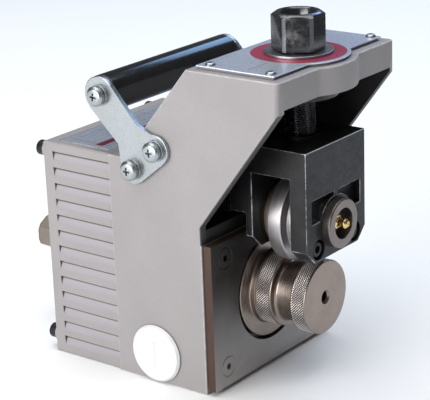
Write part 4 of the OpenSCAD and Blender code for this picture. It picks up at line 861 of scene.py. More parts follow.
def thread_group():
    """A closed threaded rod along Z, rolled up from a grid; its first and last rows close in a point."""
    nodes, given = node_group("screw_thread", {
        "Axis": "Vector", "Low": "Float", "Length": "Float", "Radius": "Float", "Pitch": "Float",
        "Depth": "Float", "Around": "Int", "Rows": "Int", "Material": "Material"})
    grid = nodes.add("GeometryNodeMeshGrid", {
        "Size X": 1.0, "Size Y": 1.0, "Vertices X": given["Around"], "Vertices Y": given["Rows"]}).outputs[0]
    across, along, _ = nodes.split(nodes.add("GeometryNodeInputPosition").outputs[0])
    across = nodes.plus(across, 0.5)
    along = nodes.plus(along, 0.5)
    height = nodes.times(along, given["Length"])
    wave = nodes.ridge(nodes.minus(nodes.over(height, given["Pitch"]), across))
    flank = nodes.over(nodes.minus(wave, THREAD_ROOT), THREAD_FLANK, clamp=True)
    sink = nodes.times(nodes.minus(1.0, flank), given["Depth"])
    open_rows = nodes.inside(along, THREAD_END, 1 - THREAD_END)
    radius = nodes.times(nodes.minus(given["Radius"], sink), open_rows)
    angle = nodes.times(across, FULL_TURN)
    rolled = nodes.join(
        nodes.times(nodes.math("COSINE", angle), radius), nodes.times(nodes.math("SINE", angle), radius),
        nodes.plus(height, given["Low"]))
    spot = nodes.add("ShaderNodeVectorMath", {0: rolled, 1: given["Axis"]}, operation="ADD").outputs[0]
    shaped = nodes.add("GeometryNodeSetPosition", {"Geometry": grid, "Position": spot}).outputs[0]
    sealed = nodes.add("GeometryNodeMergeByDistance", {"Geometry": shaped, "Distance": MERGE}).outputs[0]
    return close_group(nodes, sealed, given["Material"])


def set_out_group():
    """Copies one fastener to every point, its head towards the point's facing, each turned by chance."""
    nodes, given = node_group("set_out", {
        "Fastener": "Object", "Turn": "Float", "Seed": "Int", "Material": "Material"})
    facing = nodes.add("GeometryNodeInputNamedAttribute", {"Name": "facing"}, data_type="FLOAT_VECTOR")
    aimed = nodes.add("FunctionNodeAlignRotationToVector", {"Vector": facing.outputs[0]}, axis="Z").outputs[0]
    chance = nodes.add("FunctionNodeRandomValue", data_type="FLOAT")
    nodes.feed(chance.inputs["Seed"], given["Seed"])
    angle = nodes.times(chance.outputs[1], given["Turn"])
    spin = nodes.add("FunctionNodeAxisAngleToRotation", {"Axis": (0, 0, 1), "Angle": angle}).outputs[0]
    turned = nodes.add("FunctionNodeRotateRotation", {0: aimed, 1: spin}, rotation_space="LOCAL").outputs[0]
    source = nodes.add("GeometryNodeObjectInfo", {"Object": given["Fastener"]}).outputs["Geometry"]
    copies = nodes.add("GeometryNodeInstanceOnPoints", {
        "Points": given["Geometry"], "Instance": source, "Rotation": turned}).outputs[0]
    return close_group(nodes, copies, given["Material"])


def set_out(name, fastener, places, material, node, seed=3):
    """One piece of like fasteners from a bmesh whose head looks along Z; places are (point, facing) pairs."""
    master = new_object(name + "_master", fastener, [material])
    mesh = bpy.data.meshes.new(name)
    mesh.from_pydata([tuple(point) for point, _ in places], [], [])
    facing = mesh.attributes.new("facing", "FLOAT_VECTOR", "POINT")
    for item, (_, way) in zip(facing.data, places):
        item.vector = way
    obj = bpy.data.objects.new(name, mesh)
    bpy.context.scene.collection.objects.link(obj)
    tree = bpy.data.node_groups.get("set_out") or set_out_group()
    run_group(obj, tree, {"Fastener": master, "Turn": FULL_TURN, "Seed": seed, "Material": material})
    bpy.data.objects.remove(master)
    return place_piece(obj, node)


def corner_pairs(low, high, margin):
    """The four places that lie a margin inside the corners of a rectangle."""
    return [(a, b) for a in (low.x + margin, high.x - margin) for b in (low.y + margin, high.y - margin)]


def bend(centre, radius, start, end, steps):
    """Points of an arc between two angles in degrees."""
    angles = [math.radians(start + (end - start) * i / steps) for i in range(steps + 1)]
    return [Vector((centre[0] + radius * math.cos(a), centre[1] + radius * math.sin(a))) for a in angles]


def grown(outline, width):
    """A counter-clockwise outline moved outward by a width."""
    moved = []
    for before, here, after in zip(outline[-1:] + outline[:-1], outline, outline[1:] + outline[:1]):
        a, b = (here - before).normalized(), (after - here).normalized()
        out = Vector((a.y, -a.x)) + Vector((b.y, -b.x))
        moved.append(here + out * (width * 2 / out.length_squared))
    return moved


def close_ends(bm, low, high):
    """Closes two like rings of vertices into a solid, with a face at each end and faces between."""
    bm.faces.new(low)
    bm.faces.new(high)
    for i in range(len(low)):
        k = (i + 1) % len(low)
        bm.faces.new((low[i], low[k], high[k], high[i]))
    bmesh.ops.recalc_face_normals(bm, faces=bm.faces)
    return bm


def prism_of(outline, place, low, high):
    """Closed prism on an outline; place turns an outline point and a height into a point."""
    bm = bmesh.new()
    return close_ends(bm, *([bm.verts.new(place(point, t)) for point in outline] for t in (low, high)))


def from_above(point, t):
    """Place of an outline that is seen from above, at a height."""
    return Vector((point.x, point.y, t))


def from_side(point, t):
    """Place of an outline that is seen from the side, at a distance from the middle."""
    return Vector((t, point.x, point.y))


def prism(sides, radius, low, high, tip=1.0, turn=0.0):
    """Upright prism about Z; tip is the size of its lower end."""
    bm = bmesh.new()
    angles = [turn + FULL_TURN * i / sides for i in range(sides)]
    ends = []
    for z, r in ((low, radius * tip), (high, radius)):
        ends.append([bm.verts.new((r * math.cos(a), r * math.sin(a), z)) for a in angles])
    return close_ends(bm, *ends)


def wedge(length, width, low, high, tip=1.0):
    """Upright block about Z; tip is the size of its lower end."""
    bm = prism(4, math.sqrt(0.5), low, high, tip, turn=math.pi / 4)
    bmesh.ops.scale(bm, vec=(length, width, 1), verts=bm.verts)
    return bm


def cut(bm, cutters):
    """Takes closed shapes out of a mesh."""
    body = new_object("cut_body", bm, [])
    for cutter in cutters:
        carve(body, new_object("cut_tool", cutter, []), "DIFFERENCE")
    made = bmesh.new()
    made.from_mesh(body.data)
    bpy.data.objects.remove(body)
    return made


def cross_bit(reach, width, low, high):
    """Tapered cross of a screwdriver's tip, as two wedges."""
    wedges = []
    for turn in (0.0, math.pi / 2):
        bm = wedge(2 * reach, width, low, high, CROSS_TIP)
        bmesh.ops.rotate(bm, cent=(0, 0, 0), matrix=Matrix.Rotation(turn, 3, "Z"), verts=bm.verts)
        wedges.append(bm)
    return wedges


def shank(radius, depth):
    """Outline points of a screw's shank, from its end up to the seat at the origin."""
    return [(0, -depth, 0), (radius, -depth, 0), (radius, 0, 0)]


def pan_screw(head_r, head_h, shank_r, depth):
    """Pan head screw along Z, its seat at the origin."""
    head = [(head_r, 0, 0.15 * MM), (head_r, head_h * 0.45, 0.3 * MM),
            (head_r * 0.78, head_h * 0.88, head_r * 0.5), (0, head_h, 0)]
    bm = lathe(arcs(shank(shank_r, depth) + head), Vector(), Z, SCREW_SIDES)
    return cut(bm, cross_bit(head_r * 0.52, head_r * 0.26, head_h * 0.35, head_h * 1.3))


def small_pan_screw(head_r, head_h, shank_r, depth):
    """Low pan head screw along Z, its seat at the origin."""
    head = [(head_r, 0, 0.1 * MM), (head_r, 0.5 * MM, 0.2 * MM),
            (head_r * 0.75, head_h * 0.9, head_r * 0.6), (0, head_h, 0)]
    bm = lathe(arcs(shank(shank_r, depth) + head), Vector(), Z, SMALL_SCREW_SIDES)
    return cut(bm, cross_bit(head_r * 0.5, head_r * 0.22, head_h * 0.4, head_h * 1.3))


def cap_screw(head_r, head_h, shank_r, depth, socket_r):
    """Socket cap screw along Z with a hex socket and a rounded rim."""
    head = [(head_r, 0, 0.2 * MM), (head_r, head_h, 0.6 * MM), (0, head_h, 0)]
    bm = lathe(arcs(shank(shank_r, depth) + head), Vector(), Z, SCREW_SIDES)
    return cut(bm, [prism(6, socket_r, head_h * 0.45, head_h * 1.5)])


def flush_screw(head_r, sink_h, shank_r, depth, socket_r):
    """Countersunk hex socket screw along Z, its face at the origin."""
    outline = arcs([
        (0, -depth, 0), (shank_r, -depth, 0), (shank_r, -sink_h, 0), (head_r, -0.3 * MM, 0),
        (head_r - 0.25 * MM, 0, 0.1 * MM), (0, 0, 0)])
    bm = lathe(outline, Vector(), Z, SCREW_SIDES)
    return cut(bm, [prism(6, socket_r, -2.6 * MM, 1.0 * MM)])


def washer(r_in, r_out, thick):
    """Flat washer on the origin, its faces across Z."""
    edge = 0.25 * MM
    outline = arcs([
        (r_in, thick / 2, 0), (r_in, 0, edge), (r_out, 0, edge), (r_out, thick, edge), (r_in, thick, edge),
        (r_in, thick / 2, 0)])
    return lathe_ring(outline, Vector(), Z, WASHER_SIDES)


def split_washer(r_in, r_out, thick):
    """Spring washer with a sloping gap in its ring."""
    gap = wedge(2 * r_out, SPLIT_WIDTH, -thick, 2 * thick)
    for vert in gap.verts:
        vert.co.y += (vert.co.z - thick / 2) * SPLIT_LEAN
        vert.co.x += r_out
    return cut(washer(r_in, r_out, thick), [gap])


class GrooverOperator:
    """Shared base of the operators that make one piece or a group of like pieces."""
    bl_options = {"REGISTER", "UNDO"}


class GROOVER_OT_housing(GrooverOperator, bpy.types.Operator):
    """Housing casting with rounded edges and pebbled paint"""
    bl_idname = "groover.housing"
    bl_label = "Housing"

    def execute(self, context):
        s = context.scene.groover_sizes
        paints = [cast_paint(), paint_edge()]
        obj = new_object("housing_casting", cad_copy("housing"), paints)
        for envelope in (self.above(s.arm_round), self.beside(s.cast_round)):
            # The rounded faces take the edge paint with its painted highlight.
            for face in envelope.faces:
                face.material_index = 1
            carve(obj, new_object("envelope", envelope, paints), "INTERSECT")
        even_shading(obj, SHARP)
        place_piece(obj, "housing")
        return {"FINISHED"}

    def above(self, width):
        """Envelope of the casting's outline from above, its upper edge rounded; it clears the dial's pad."""
        half, back = HALF_W + SKIN, CASE_BACK + PAST_BACK
        drop = FEED.y - ARM_FRONT + FLARE_R
        side = math.sqrt((BULGE_R + FLARE_R) ** 2 - drop ** 2)
        lean = math.degrees(math.atan2(drop, side))
        corner = (HALF_W - ARM_CORNER_R, ARM_FRONT + ARM_CORNER_R)
        right = [
            Vector((half, back)), *bend(corner, ARM_CORNER_R + SKIN, 0, -90, CORNER_STEPS),
            *bend((side, ARM_FRONT - FLARE_R), FLARE_R - SKIN, 90, 180 - lean, FLARE_STEPS)]
        bulge = bend((0, FEED.y), BULGE_R + SKIN, -lean, lean - 180, BULGE_STEPS)
        outline = right + bulge[1:-1] + [Vector((-point.x, point.y)) for point in reversed(right)]
        bm = prism_of(outline, from_above, -MM, ARM_TOP + SKIN)
        self.round_rims(bm, width, lambda middle: middle.z > ARM_TOP)
        top = max(bm.faces, key=lambda face: face.calc_center_median().z * face.normal.z)
        bmesh.ops.inset_region(bm, faces=[top], thickness=MM, use_boundary=True, use_even_offset=True)
        bmesh.ops.translate(bm, verts=top.verts, vec=Z * PAST_PAD)
        return bm

    def beside(self, width):
        """Envelope of the casting's outline from the side, both its rims rounded."""
        high = ARM_TOP + PAST_TOP
        far = ARM_FRONT - PAST_FRONT
        slope = (SLOPE_HIGH - SLOPE_LOW) / (SLOPE_HIGH.y - SLOPE_LOW.y)
        outline = grown([
            Vector((CASE_FRONT, 0)), Vector((CASE_BACK, 0)), Vector((CASE_BACK, CASE_TOP)), SLOPE_LOW,
            SLOPE_LOW + slope * (high - SLOPE_LOW.y), Vector((far, high)), Vector((far, NOSE_Z)),
            Vector((ARM_FRONT, NOSE_Z)), Vector((CASE_FRONT, KNEE_Z))], SKIN)
        bm = prism_of(outline, from_side, -HALF_W - SKIN, HALF_W + SKIN)
        self.round_rims(bm, width, lambda middle: abs(middle.x) > HALF_W)
        return bm

    def round_rims(self, bm, width, chosen):
        """Rounds the edges whose middle is chosen."""
        edges = [edge for edge in bm.edges if chosen((edge.verts[0].co + edge.verts[1].co) / 2)]
        bmesh.ops.bevel(
            bm, geom=edges, offset=width, offset_type="OFFSET", segments=RIM_SEGMENTS, profile=0.5,
            affect="EDGES", clamp_overlap=False)
        bm.normal_update()


class GROOVER_OT_cover(GrooverOperator, bpy.types.Operator):
    """Ribbed gear cover, its bolts and its label"""
    bl_idname = "groover.cover"
    bl_label = "Gear cover"

    def execute(self, context):
        s = context.scene.groover_sizes
        _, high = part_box("rear_cover")

        def rule(middle, direction, on_bore):
            if on_bore:
                return 0.0
            side = abs(middle.x) > high.x - SKIN and middle.z > high.z - SKIN
            return s.cover_round if side else s.rib_round

        bm = cad_copy("rear_cover")
        # Rib slopes take the rib paint with its painted light and shadow line; the ribs' end walls take a painted
        # shade.
        for face in bm.faces:
            if face.normal.z > RIB_UPWARD and abs(face.normal.x) > RIB_SIDEWAYS:
                face.material_index = 1
            elif face.normal.y < -FACING and abs(face.calc_center_median().x) > high.x - RIB_DEPTH:
                face.material_index = 2
        widest = weigh_edges(bm, rule)
        # Near-black painted shade for the ribs' end walls.
        painted_shade = soft_black("rib_grime", tint=(0.05, 0.046, 0.044))
        obj = new_object("gear_cover", bm, [cast_paint(), rib_paint(), painted_shade])
        bevel_by_weight(obj, widest, segments=3)
        even_shading(obj, ROUNDED)
        place_piece(obj, "rear_cover")
        bright = plain_steel("label_edge", tint=(0.90, 0.90, 0.92), roughness=0.25)
        rounded_node("cover_label_plate", "cover_label", 0.3 * MM, [label_print(), bright], segments=2)
        self.bolts()
        return {"FINISHED"}

    def bolts(self):
        low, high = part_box("cover_bolts")
        head_r, head_h, socket_r = 5 * MM, 6 * MM, SHANK_R * 0.95
        seat = high.y - head_h
        places = [(Vector((x, seat, z)), Y) for x, z in corner_pairs(low.xz, high.xz, head_r)]
        bolt = cap_screw(head_r, head_h, SHANK_R, seat - low.y, socket_r)
        set_out("cover_cap_screws", bolt, places, black_oxide(), "cover_bolts")


class GROOVER_OT_front_plate(GrooverOperator, bpy.types.Operator):
    """Wear plate and its countersunk screws"""
    bl_idname = "groover.front_plate"
    bl_label = "Wear plate"

    def execute(self, context):
        s = context.scene.groover_sizes
        face = plate_steel()
        edge = plain_steel("plate_edge", tint=(0.070, 0.040, 0.030), roughness=0.45, metallic=0.6)
        bm = cad_copy("front_plate")
        for side in bm.faces:
            side.material_index = 1 if max(abs(side.normal.x), abs(side.normal.z)) > FACING else 0
        widest = weigh_edges(bm, even_rule(s.machined_round, bores=True))
        obj = new_object("wear_plate", bm, [face, edge])
        bevel_by_weight(obj, widest, segments=2)
        place_piece(obj, "front_plate")
        low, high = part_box("plate_screws")
        sink_r, sink_gap, sink_h, socket_r = 7 * MM, 0.35 * MM, 4 * MM, 2.3 * MM
        places = [(Vector((x, low.y, z)), -Y) for x, z in corner_pairs(low.xz, high.xz, sink_r)]
        screw = flush_screw(sink_r - sink_gap, sink_h, SHANK_R, high.y - low.y, socket_r)
        set_out("plate_flush_screws", screw, places, face, "plate_screws")
        return {"FINISHED"}


class GROOVER_OT_drive_roll(GrooverOperator, bpy.types.Operator):
    """Drive roll with two knurled bands, a plain groove and a stop flange"""
    bl_idname = "groover.drive_roll"
    bl_label = "Drive roll"

    def execute(self, context):
        s = context.scene.groover_sizes
        # Radii between which the knurl's grooves grow darker towards their foot.
        darker_radii = (ROLL_R - 0.5 * s.knurl_depth, ROLL_R - 0.02 * s.knurl_depth)
        steel = turned_steel("drive_steel", DRIVE, tuple(colours().steel), darker_radii=darker_radii)
        pitch = FULL_TURN * ROLL_R / s.knurl_teeth
        front, middle, rear = self.outlines()
        front_band = self.band(ROLL_FRONT, FRONT_BAND_END, pitch)
        rear_band = self.band(REAR_BAND_START, COLLAR_FRONT, pitch)
        outline = front + front_band + middle + rear_band + rear
        bm = lathe(outline, Vector((DRIVE.x, 0, DRIVE.z)), Y, s.knurl_teeth * KNURL_STEPS)
        self.mark_bands(bm, {round(point.y, 7) for point in front_band + rear_band})
        obj = new_object("drive_roll_turned", bm, [steel])
        run_group(obj, knurl_group(), {
            "Axis height": DRIVE.z, "Teeth": float(s.knurl_teeth), "Pitch": pitch, "Depth": s.knurl_depth,
            "Material": steel})
        self.add_shaft(obj)
        place_piece(obj, "drive_roll")
        return {"FINISHED"}

    def outlines(self):
        """Plain outlines before, between and behind the two knurled bands."""
        hole_end = ROLL_FRONT + CENTRE_HOLE_DEPTH
        front = arcs([
            (0, hole_end, 0), (CENTRE_HOLE_R, hole_end - CENTRE_HOLE_TIP, 0),
            (CENTRE_HOLE_R, ROLL_FRONT + CENTRE_SINK, 0), (CENTRE_HOLE_R + CENTRE_SINK, ROLL_FRONT, 0.3 * MM),
            (ROLL_R - 0.3 * MM, ROLL_FRONT, 0.7 * MM), (ROLL_R, ROLL_FRONT + KNURL_LIP, 0)])
        middle = arcs([
            (ROLL_R, FRONT_BAND_END - KNURL_LIP, 0), (ROLL_R - 0.2 * MM, FRONT_BAND_END, 0.5 * MM),
            (GROOVE_FLOOR_R, FRONT_BAND_END, 1.6 * MM), (GROOVE_FLOOR_R, REAR_BAND_START, 2.2 * MM),
            (ROLL_R - 0.2 * MM, REAR_BAND_START, 0.6 * MM), (ROLL_R, REAR_BAND_START + KNURL_LIP, 0)])
        rear = arcs([
            (ROLL_R, COLLAR_FRONT - KNURL_LIP, 0), (ROLL_R - 0.4 * MM, COLLAR_FRONT - 0.3 * MM, 0.1 * MM),
            (COLLAR_R, COLLAR_FRONT, 0.4 * MM), (COLLAR_R, FLANGE_FRONT, 1.0 * MM),
            (FLANGE_R, FLANGE_FRONT, 0.9 * MM), (FLANGE_R, FLANGE_BACK, 0.4 * MM), (0, FLANGE_BACK, 0)])
        return front, middle, rear

    def band(self, front, back, pitch):
        """Rows of a knurled band between its lips, at whole steps of the knurl."""
        start, end = front + KNURL_LIP + KNURL_GAP, back - KNURL_LIP - KNURL_GAP
        rows = round((end - start) / pitch * KNURL_STEPS)
        first = math.ceil(start / pitch * KNURL_STEPS)
        return [Vector((ROLL_R, (first + k) * pitch / KNURL_STEPS)) for k in range(rows)]

    def mark_bands(self, bm, places):
        """Marks the vertices of the knurled bands, which lie on the roll's surface at the given places."""
        mark = bm.verts.layers.float.new("knurled")
        least_r = ROLL_R - 0.1 * MM
        for vert in bm.verts:
            on_surface = math.hypot(vert.co.x, vert.co.z - DRIVE.z) > least_r
            vert[mark] = 1.0 if on_surface and round(vert.co.y, 7) in places else 0.0

    def add_shaft(self, obj):
        """Adds the part of the solid that is hidden behind the flange."""
        bm = solid_beyond("drive_roll", Y * (FLANGE_BACK + 0.01 * MM), Y)
        bm.from_mesh(obj.data)
        bm.to_mesh(obj.data)
        bm.free()


class GROOVER_OT_slide_block(GrooverOperator, bpy.types.Operator):
    """Black slide block with worn edges, a painted highlight on its upper front edge, and its two lock screws"""
    bl_idname = "groover.slide_block"
    bl_label = "Slide block"

    def execute(self, context):
        s = context.scene.groover_sizes
        # The block's edges: wear, and a painted highlight along the upper front edge.
        finishes = [black_oxide(), rubbed_edge()]
        rounded_node("slide_block_black", "slide_block", s.machined_round * 1.2, finishes, segments=2)
        low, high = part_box("shaft_lock_screws")
        head_r, head_h, socket_r = 5 * MM, 5 * MM, 2.85 * MM
        seat = low.y + head_h
        sides = (low.x + head_r, high.x - head_r)
        places = [(Vector((x, seat, (low.z + high.z) / 2)), -Y) for x in sides]
        screw = cap_screw(head_r, head_h, SHANK_R, high.y - seat, socket_r)
        set_out("lock_cap_screws", screw, places, black_oxide(), "shaft_lock_screws")
        return {"FINISHED"}


class GROOVER_OT_groove_roll(GrooverOperator, bpy.types.Operator):
    """Groove roll, its hollow ended shaft and the grease fitting"""
    bl_idname = "groover.groove_roll"
    bl_label = "Groove roll"

    def execute(self, context):
        edge = context.scene.groover_sizes.machined_round
        low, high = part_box("groove_roll")
        rim_r, bore_r = (high.z - low.z) / 2, self.bore()
        rim_front, rim_back = low.y + RIM_FRONT_STEP, high.y - RIM_REAR_STEP
        seam = (bore_r, (low.y + high.y) / 2, 0)
        outline = arcs([
            seam, (bore_r, low.y, edge), (GROOVE_HUB_R, low.y, edge * 2), (GROOVE_HUB_R, rim_front, edge * 2),
            (rim_r, rim_front, edge * 3), (rim_r, rim_back, edge * 3), (GROOVE_HUB_R, rim_back, edge * 2),
            (GROOVE_HUB_R, high.y, edge * 2), (bore_r, high.y, edge), seam])
        ring = lathe_ring(outline, Vector((GROOVE.x, 0, GROOVE.z)), Y, GROOVE_ROLL_SIDES)
        steel = turned_steel("groove_steel", GROOVE, tint=(0.42, 0.40, 0.41), roughness=0.40)
        place_piece(new_object("groove_roll_ground", ring, [steel]), "groove_roll")
        shaft = turned_steel("shaft_steel", GROOVE, tint=(0.22, 0.195, 0.185), roughness=0.36)
        rounded_node("groove_roll_pin", "groove_roll_shaft", edge * 0.8, [shaft], bores=True)
        brass = brass_finish("brass_bright")
        rounded_node("grease_nipple", "grease_fitting", 0.2 * MM, [brass], segments=2)
        return {"FINISHED"}

    def bore(self):
        """Radius of the roll's bore, from its bush."""
        low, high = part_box("groove_roll_bush")
        return (high.z - low.z) / 2 + SKIN


class GROOVER_OT_feed_screw(GrooverOperator, bpy.types.Operator):
    """Feed screw with a helical thread, and its nut"""
    bl_idname = "groover.feed_screw"
    bl_label = "Feed screw"

    def execute(self, context):
        s = context.scene.groover_sizes
        black = black_oxide("feed_black", lift=6.0, roughness=0.2, metallic=0.9)

        def rule(middle, direction, on_bore):
            return s.machined_round if abs(direction.z) > UPRIGHT and middle.z > THREAD_HIGH else 0.0

        bm = self.ends()
        widest = weigh_edges(bm, rule)
        obj = new_object("feed_screw_turned", bm, [black])
        bevel_by_weight(obj, widest, segments=2)
        place_piece(obj, "feed_screw")
        length = THREAD_HIGH - THREAD_LOW
        thread = new_object("feed_thread", bmesh.new(), [black])
        run_group(thread, thread_group(), {
            "Axis": (FEED.x, FEED.y, 0.0), "Low": THREAD_LOW, "Length": length, "Radius": THREAD_R,
            "Pitch": s.thread_pitch, "Depth": s.thread_depth, "Around": THREAD_AROUND,
            "Rows": round(length / s.thread_pitch * THREAD_ROWS) + 1, "Material": black})
        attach(thread, BODY["feed_screw"])
        nut = turned_steel("nut_steel", FEED, tint=(0.40, 0.40, 0.42), roughness=0.32, along_z=True)
        rounded_node("feed_nut_ring", "feed_nut", s.machined_round, [nut], bores=True)
        return {"FINISHED"}

    def ends(self):
        """The solid's head above the thread and its foot below, in one mesh."""
        bm = solid_beyond("feed_screw", Z * THREAD_HIGH, Z)
        foot = solid_beyond("feed_screw", Z * THREAD_LOW, -Z)
        mesh = bpy.data.meshes.new("foot")
        foot.to_mesh(mesh)
        foot.free()
        bm.from_mesh(mesh)
        bpy.data.meshes.remove(mesh)
        return bm


class GROOVER_OT_handle(GrooverOperator, bpy.types.Operator):
    """Carry handle, its brackets, screws and washers"""
    bl_idname = "groover.handle"
    bl_label = "Handle"

    def execute(self, context):
        zinc = zinc_plate()
        for side in ("left", "right"):
            rounded_node(side + "_bracket_plated", side + "_bracket", 0.7 * MM, [zinc])
        centre = self.grip()
        low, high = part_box("bracket_screws")
        head_r, head_h, depth = 6.4 * MM, 3.6 * MM, 15 * MM
        flat_r, lock_r, hole_r, flat_t = 6.8 * MM, 5.7 * MM, 3.1 * MM, 1.2 * MM
        feet = [(low.y + head_r, high.z - head_r), (high.y - head_r, low.z + head_r)]
        ends = [(centre.y, centre.z)]
        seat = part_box("handle_screws")[1].x - head_h
        flat_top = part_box("flat_washers")[1].x

        def spots(points, distance):
            return [(Vector((way * distance, y, z)), X * way) for way in (-1, 1) for y, z in points]

        groups = (
            ("bracket_pan_screws", "bracket_screws", pan_screw(head_r, head_h, SHANK_R, depth),
             spots(feet, seat), 5),
            ("handle_pan_screws", "handle_screws", pan_screw(head_r, head_h, SHANK_R, depth),
             spots(ends, seat), 8),
            ("flat_washers_plated", "flat_washers", washer(hole_r, flat_r, flat_t),
             spots(feet + ends, flat_top - flat_t), 3),
            ("spring_washers_plated", "lock_washers", split_washer(hole_r, lock_r, seat - flat_top),
             spots(feet + ends, flat_top), 11))
        for name, node, fastener, places, seed in groups:
            set_out(name, fastener, places, zinc, node, seed)
        return {"FINISHED"}

    def grip(self):
        """Makes the grip and gives its middle."""
        low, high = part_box("handle_grip")
        centre = (low + high) / 2
        outer, inner, half = (high.z - low.z) / 2, 8.53 * MM, high.x
        outline = arcs([
            (inner, 0, 0), (inner, -half, 0.3 * MM), (outer, -half, 1.0 * MM), (outer, half, 1.0 * MM),
            (inner, half, 0.3 * MM), (inner, 0, 0)])
        bm = lathe_ring(outline, Vector((0, centre.y, centre.z)), X, GRIP_SIDES)
        place_piece(new_object("handle_grip_black", bm, [grip_plastic()]), "handle_grip")
        return centre


class GROOVER_OT_dial_plate(GrooverOperator, bpy.types.Operator):
    """Dial plate on the arm with its small screws"""
    bl_idname = "groover.dial_plate"
    bl_label = "Dial plate"

    def execute(self, context):
        rounded_node("dial_plate_printed", "dial_plate", 0.2 * MM, [dial_print()], segments=2)
        low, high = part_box("dial_screws")
        head_r, head_h, shank_r = 3.3 * MM, 2.0 * MM, 1.5 * MM
        seat = high.z - head_h
        places = [(Vector((x, y, seat)), Z) for x, y in corner_pairs(low.xy, high.xy, head_r)]
        screw = small_pan_screw(head_r, head_h, shank_r, seat - low.z)
        set_out("dial_pan_screws", screw, places, zinc_plate(), "dial_screws", seed=2)
        return {"FINISHED"}


class GROOVER_OT_side_plug(GrooverOperator, bpy.types.Operator):
    """White plug in the left side"""
    bl_idname = "groover.side_plug"
    bl_label = "Side plug"

    def execute(self, context):
        plug = rounded_node("side_plug_white", "side_plug", 1.1 * MM, [plug_plastic()])
        low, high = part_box("side_plug")
        y, z = (low.y + high.y) / 2, (low.z + high.z) / 2
        left, right = y - PLUG_LINE_HALF_W, y + PLUG_LINE_HALF_W
        foot, top = z - PLUG_LINE_HALF_L, z + PLUG_LINE_HALF_L
        outline = [Vector(point) for point in ((left, foot), (right, foot), (right, top), (left, top))]
        line = prism_of(outline, from_side, low.x - MM, low.x + PLUG_LINE_DEPTH)
        carve(plug, new_object("plug_line", line, []), "DIFFERENCE")
        return {"FINISHED"}


class GROOVER_OT_inner_pieces(GrooverOperator, bpy.types.Operator):
    """Input shaft, and the finishes of the pieces inside"""
    bl_idname = "groover.inner_pieces"
    bl_label = "Inner pieces"

    def execute(self, context):
        hex_steel = plain_steel("hex_steel", tint=(0.25, 0.215, 0.185), roughness=0.36, grain=(1, 0.15, 1))
        rounded_node("input_shaft_turned", "input_shaft", 0.4 * MM, [hex_steel])
        finishes = {
            "body_paint": cast_paint(),
            "dark_steel": black_oxide(),
            "black_steel": black_oxide(),
            "block_black": black_oxide(),
            "roll_steel": hex_steel,
            "gear_steel": plain_steel(
                "gear_steel", tint=(0.36, 0.36, 0.38), roughness=0.34, grain=(1, 0.2, 1)),
            "bearing_steel": plain_steel("bearing_steel", tint=(0.52, 0.52, 0.54), roughness=0.25),
            "zinc": zinc_plate(),
            "grip_black": grip_plastic(),
            "plug_white": plug_plastic(),
            "seal_rubber": soft_black("seal_rubber", tint=(0.014, 0.014, 0.015)),
            "gasket_brown": soft_black("gasket_fibre", tint=(0.045, 0.025, 0.018)),
            "label_metal": plain_steel("label_back", tint=(0.40, 0.42, 0.46), roughness=0.35),
            "brass": brass_finish("brass_bright"),
            "bronze": brass_finish("bronze_dull", lift=0.72, roughness=0.38),
        }
        for name, obj in frame["nodes"].items():
            if not obj.hide_render:
                obj.data.materials.clear()
                obj.data.materials.append(finishes[SLOT[name]])
        return {"FINISHED"}


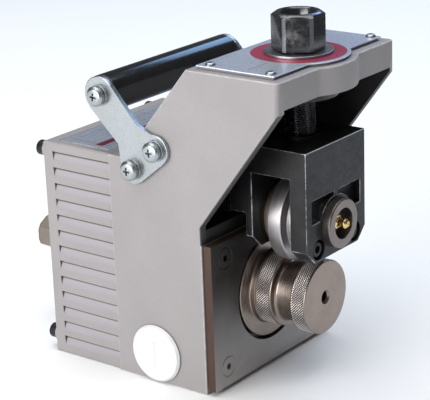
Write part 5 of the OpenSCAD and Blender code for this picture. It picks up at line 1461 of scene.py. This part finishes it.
class GROOVER_OT_stage(GrooverOperator, bpy.types.Operator):
    """Pale floor, soft studio light and the camera"""
    bl_idname = "groover.stage"
    bl_label = "Stage"

    def execute(self, context):
        self.floor()
        self.world(context.scene)
        for light in LIGHTS:
            self.light(context.scene, *light)
        self.camera(context.scene)
        context.scene.view_settings.view_transform = "Standard"
        return {"FINISHED"}

    def floor(self):
        bm = bmesh.new()
        bmesh.ops.create_grid(bm, x_segments=FLOOR_CELLS, y_segments=FLOOR_CELLS, size=FLOOR_REACH)
        f = Finish("studio_floor", metallic=0.0, roughness=0.9)
        f.set("Base Color", f.cloud(0.8, (0.90, 0.90, 0.90), (0.92, 0.92, 0.92)))
        floor = new_object("studio_floor", bm, [f.material])
        floor.location.z = CAD_BOX[0].z - FLOOR_DROP

    def world(self, scene):
        world = bpy.data.worlds.new("studio")
        scene.world = world
        world.use_nodes = True
        sky = world.node_tree.nodes["Background"]
        sky.inputs["Color"].default_value = SKY_COLOUR
        sky.inputs["Strength"].default_value = SKY_STRENGTH

    def light(self, scene, name, place, size, power, colour):
        lamp = bpy.data.lights.new(name, "AREA")
        lamp.shape = "RECTANGLE"
        lamp.size, lamp.size_y = size
        lamp.energy = power
        lamp.color = colour
        obj = bpy.data.objects.new(name, lamp)
        obj.location = place
        aim = LIGHT_AIM - obj.location
        obj.rotation_euler = aim.to_track_quat("-Z", "Y").to_euler()
        scene.collection.objects.link(obj)

    def camera(self, scene):
        az, el = CAMERA_AZIMUTH, CAMERA_ELEVATION
        back = Vector((math.sin(az) * math.cos(el), -math.cos(az) * math.cos(el), math.sin(el)))
        right = Z.cross(back).normalized()
        up = back.cross(right)
        c, r = math.cos(CAMERA_ROLL), math.sin(CAMERA_ROLL)
        right, up = right * c + up * r, up * c - right * r
        lens = bpy.data.cameras.new("photo_camera")
        lens.sensor_width = SENSOR_WIDTH
        lens.lens = FOCAL_PIXELS * SENSOR_WIDTH / IMAGE_WIDTH
        lens.clip_end = FAR_CLIP
        camera = bpy.data.objects.new("photo_camera", lens)
        place = CAMERA_ORIGIN + right * CAMERA_SLIDE + up * CAMERA_RISE + back * CAMERA_DISTANCE
        camera.matrix_world = Matrix((right, up, back)).transposed().to_4x4()
        camera.matrix_world.translation = place
        scene.collection.objects.link(camera)
        scene.camera = camera


PIECES = (
    GROOVER_OT_housing, GROOVER_OT_cover, GROOVER_OT_front_plate, GROOVER_OT_drive_roll,
    GROOVER_OT_slide_block, GROOVER_OT_groove_roll, GROOVER_OT_feed_screw, GROOVER_OT_handle,
    GROOVER_OT_dial_plate, GROOVER_OT_side_plug, GROOVER_OT_inner_pieces, GROOVER_OT_stage)


class GROOVER_PT_panel(bpy.types.Panel):
    """Sizes, colours and the operators that make the pieces"""
    bl_idname = "GROOVER_PT_panel"
    bl_label = "Roll groover"
    bl_space_type = "VIEW_3D"
    bl_region_type = "UI"
    bl_category = "Roll groover"

    def draw(self, context):
        for group in (context.scene.groover_sizes, context.scene.groover_colours):
            for key in group.__annotations__:
                self.layout.prop(group, key)
        for piece in PIECES:
            self.layout.operator(piece.bl_idname)


CLASSES = (GrooverSizes, GrooverColours, *PIECES, GROOVER_PT_panel)


def register():
    for cls in CLASSES:
        bpy.utils.register_class(cls)
    bpy.types.Scene.groover_sizes = PointerProperty(type=GrooverSizes)
    bpy.types.Scene.groover_colours = PointerProperty(type=GrooverColours)


def unregister():
    del bpy.types.Scene.groover_colours
    del bpy.types.Scene.groover_sizes
    for cls in reversed(CLASSES):
        bpy.utils.unregister_class(cls)


def main():
    register()
    for piece in PIECES:
        group, name = piece.bl_idname.split(".")
        getattr(getattr(bpy.ops, group), name)()


if __name__ == "__main__":
    main()
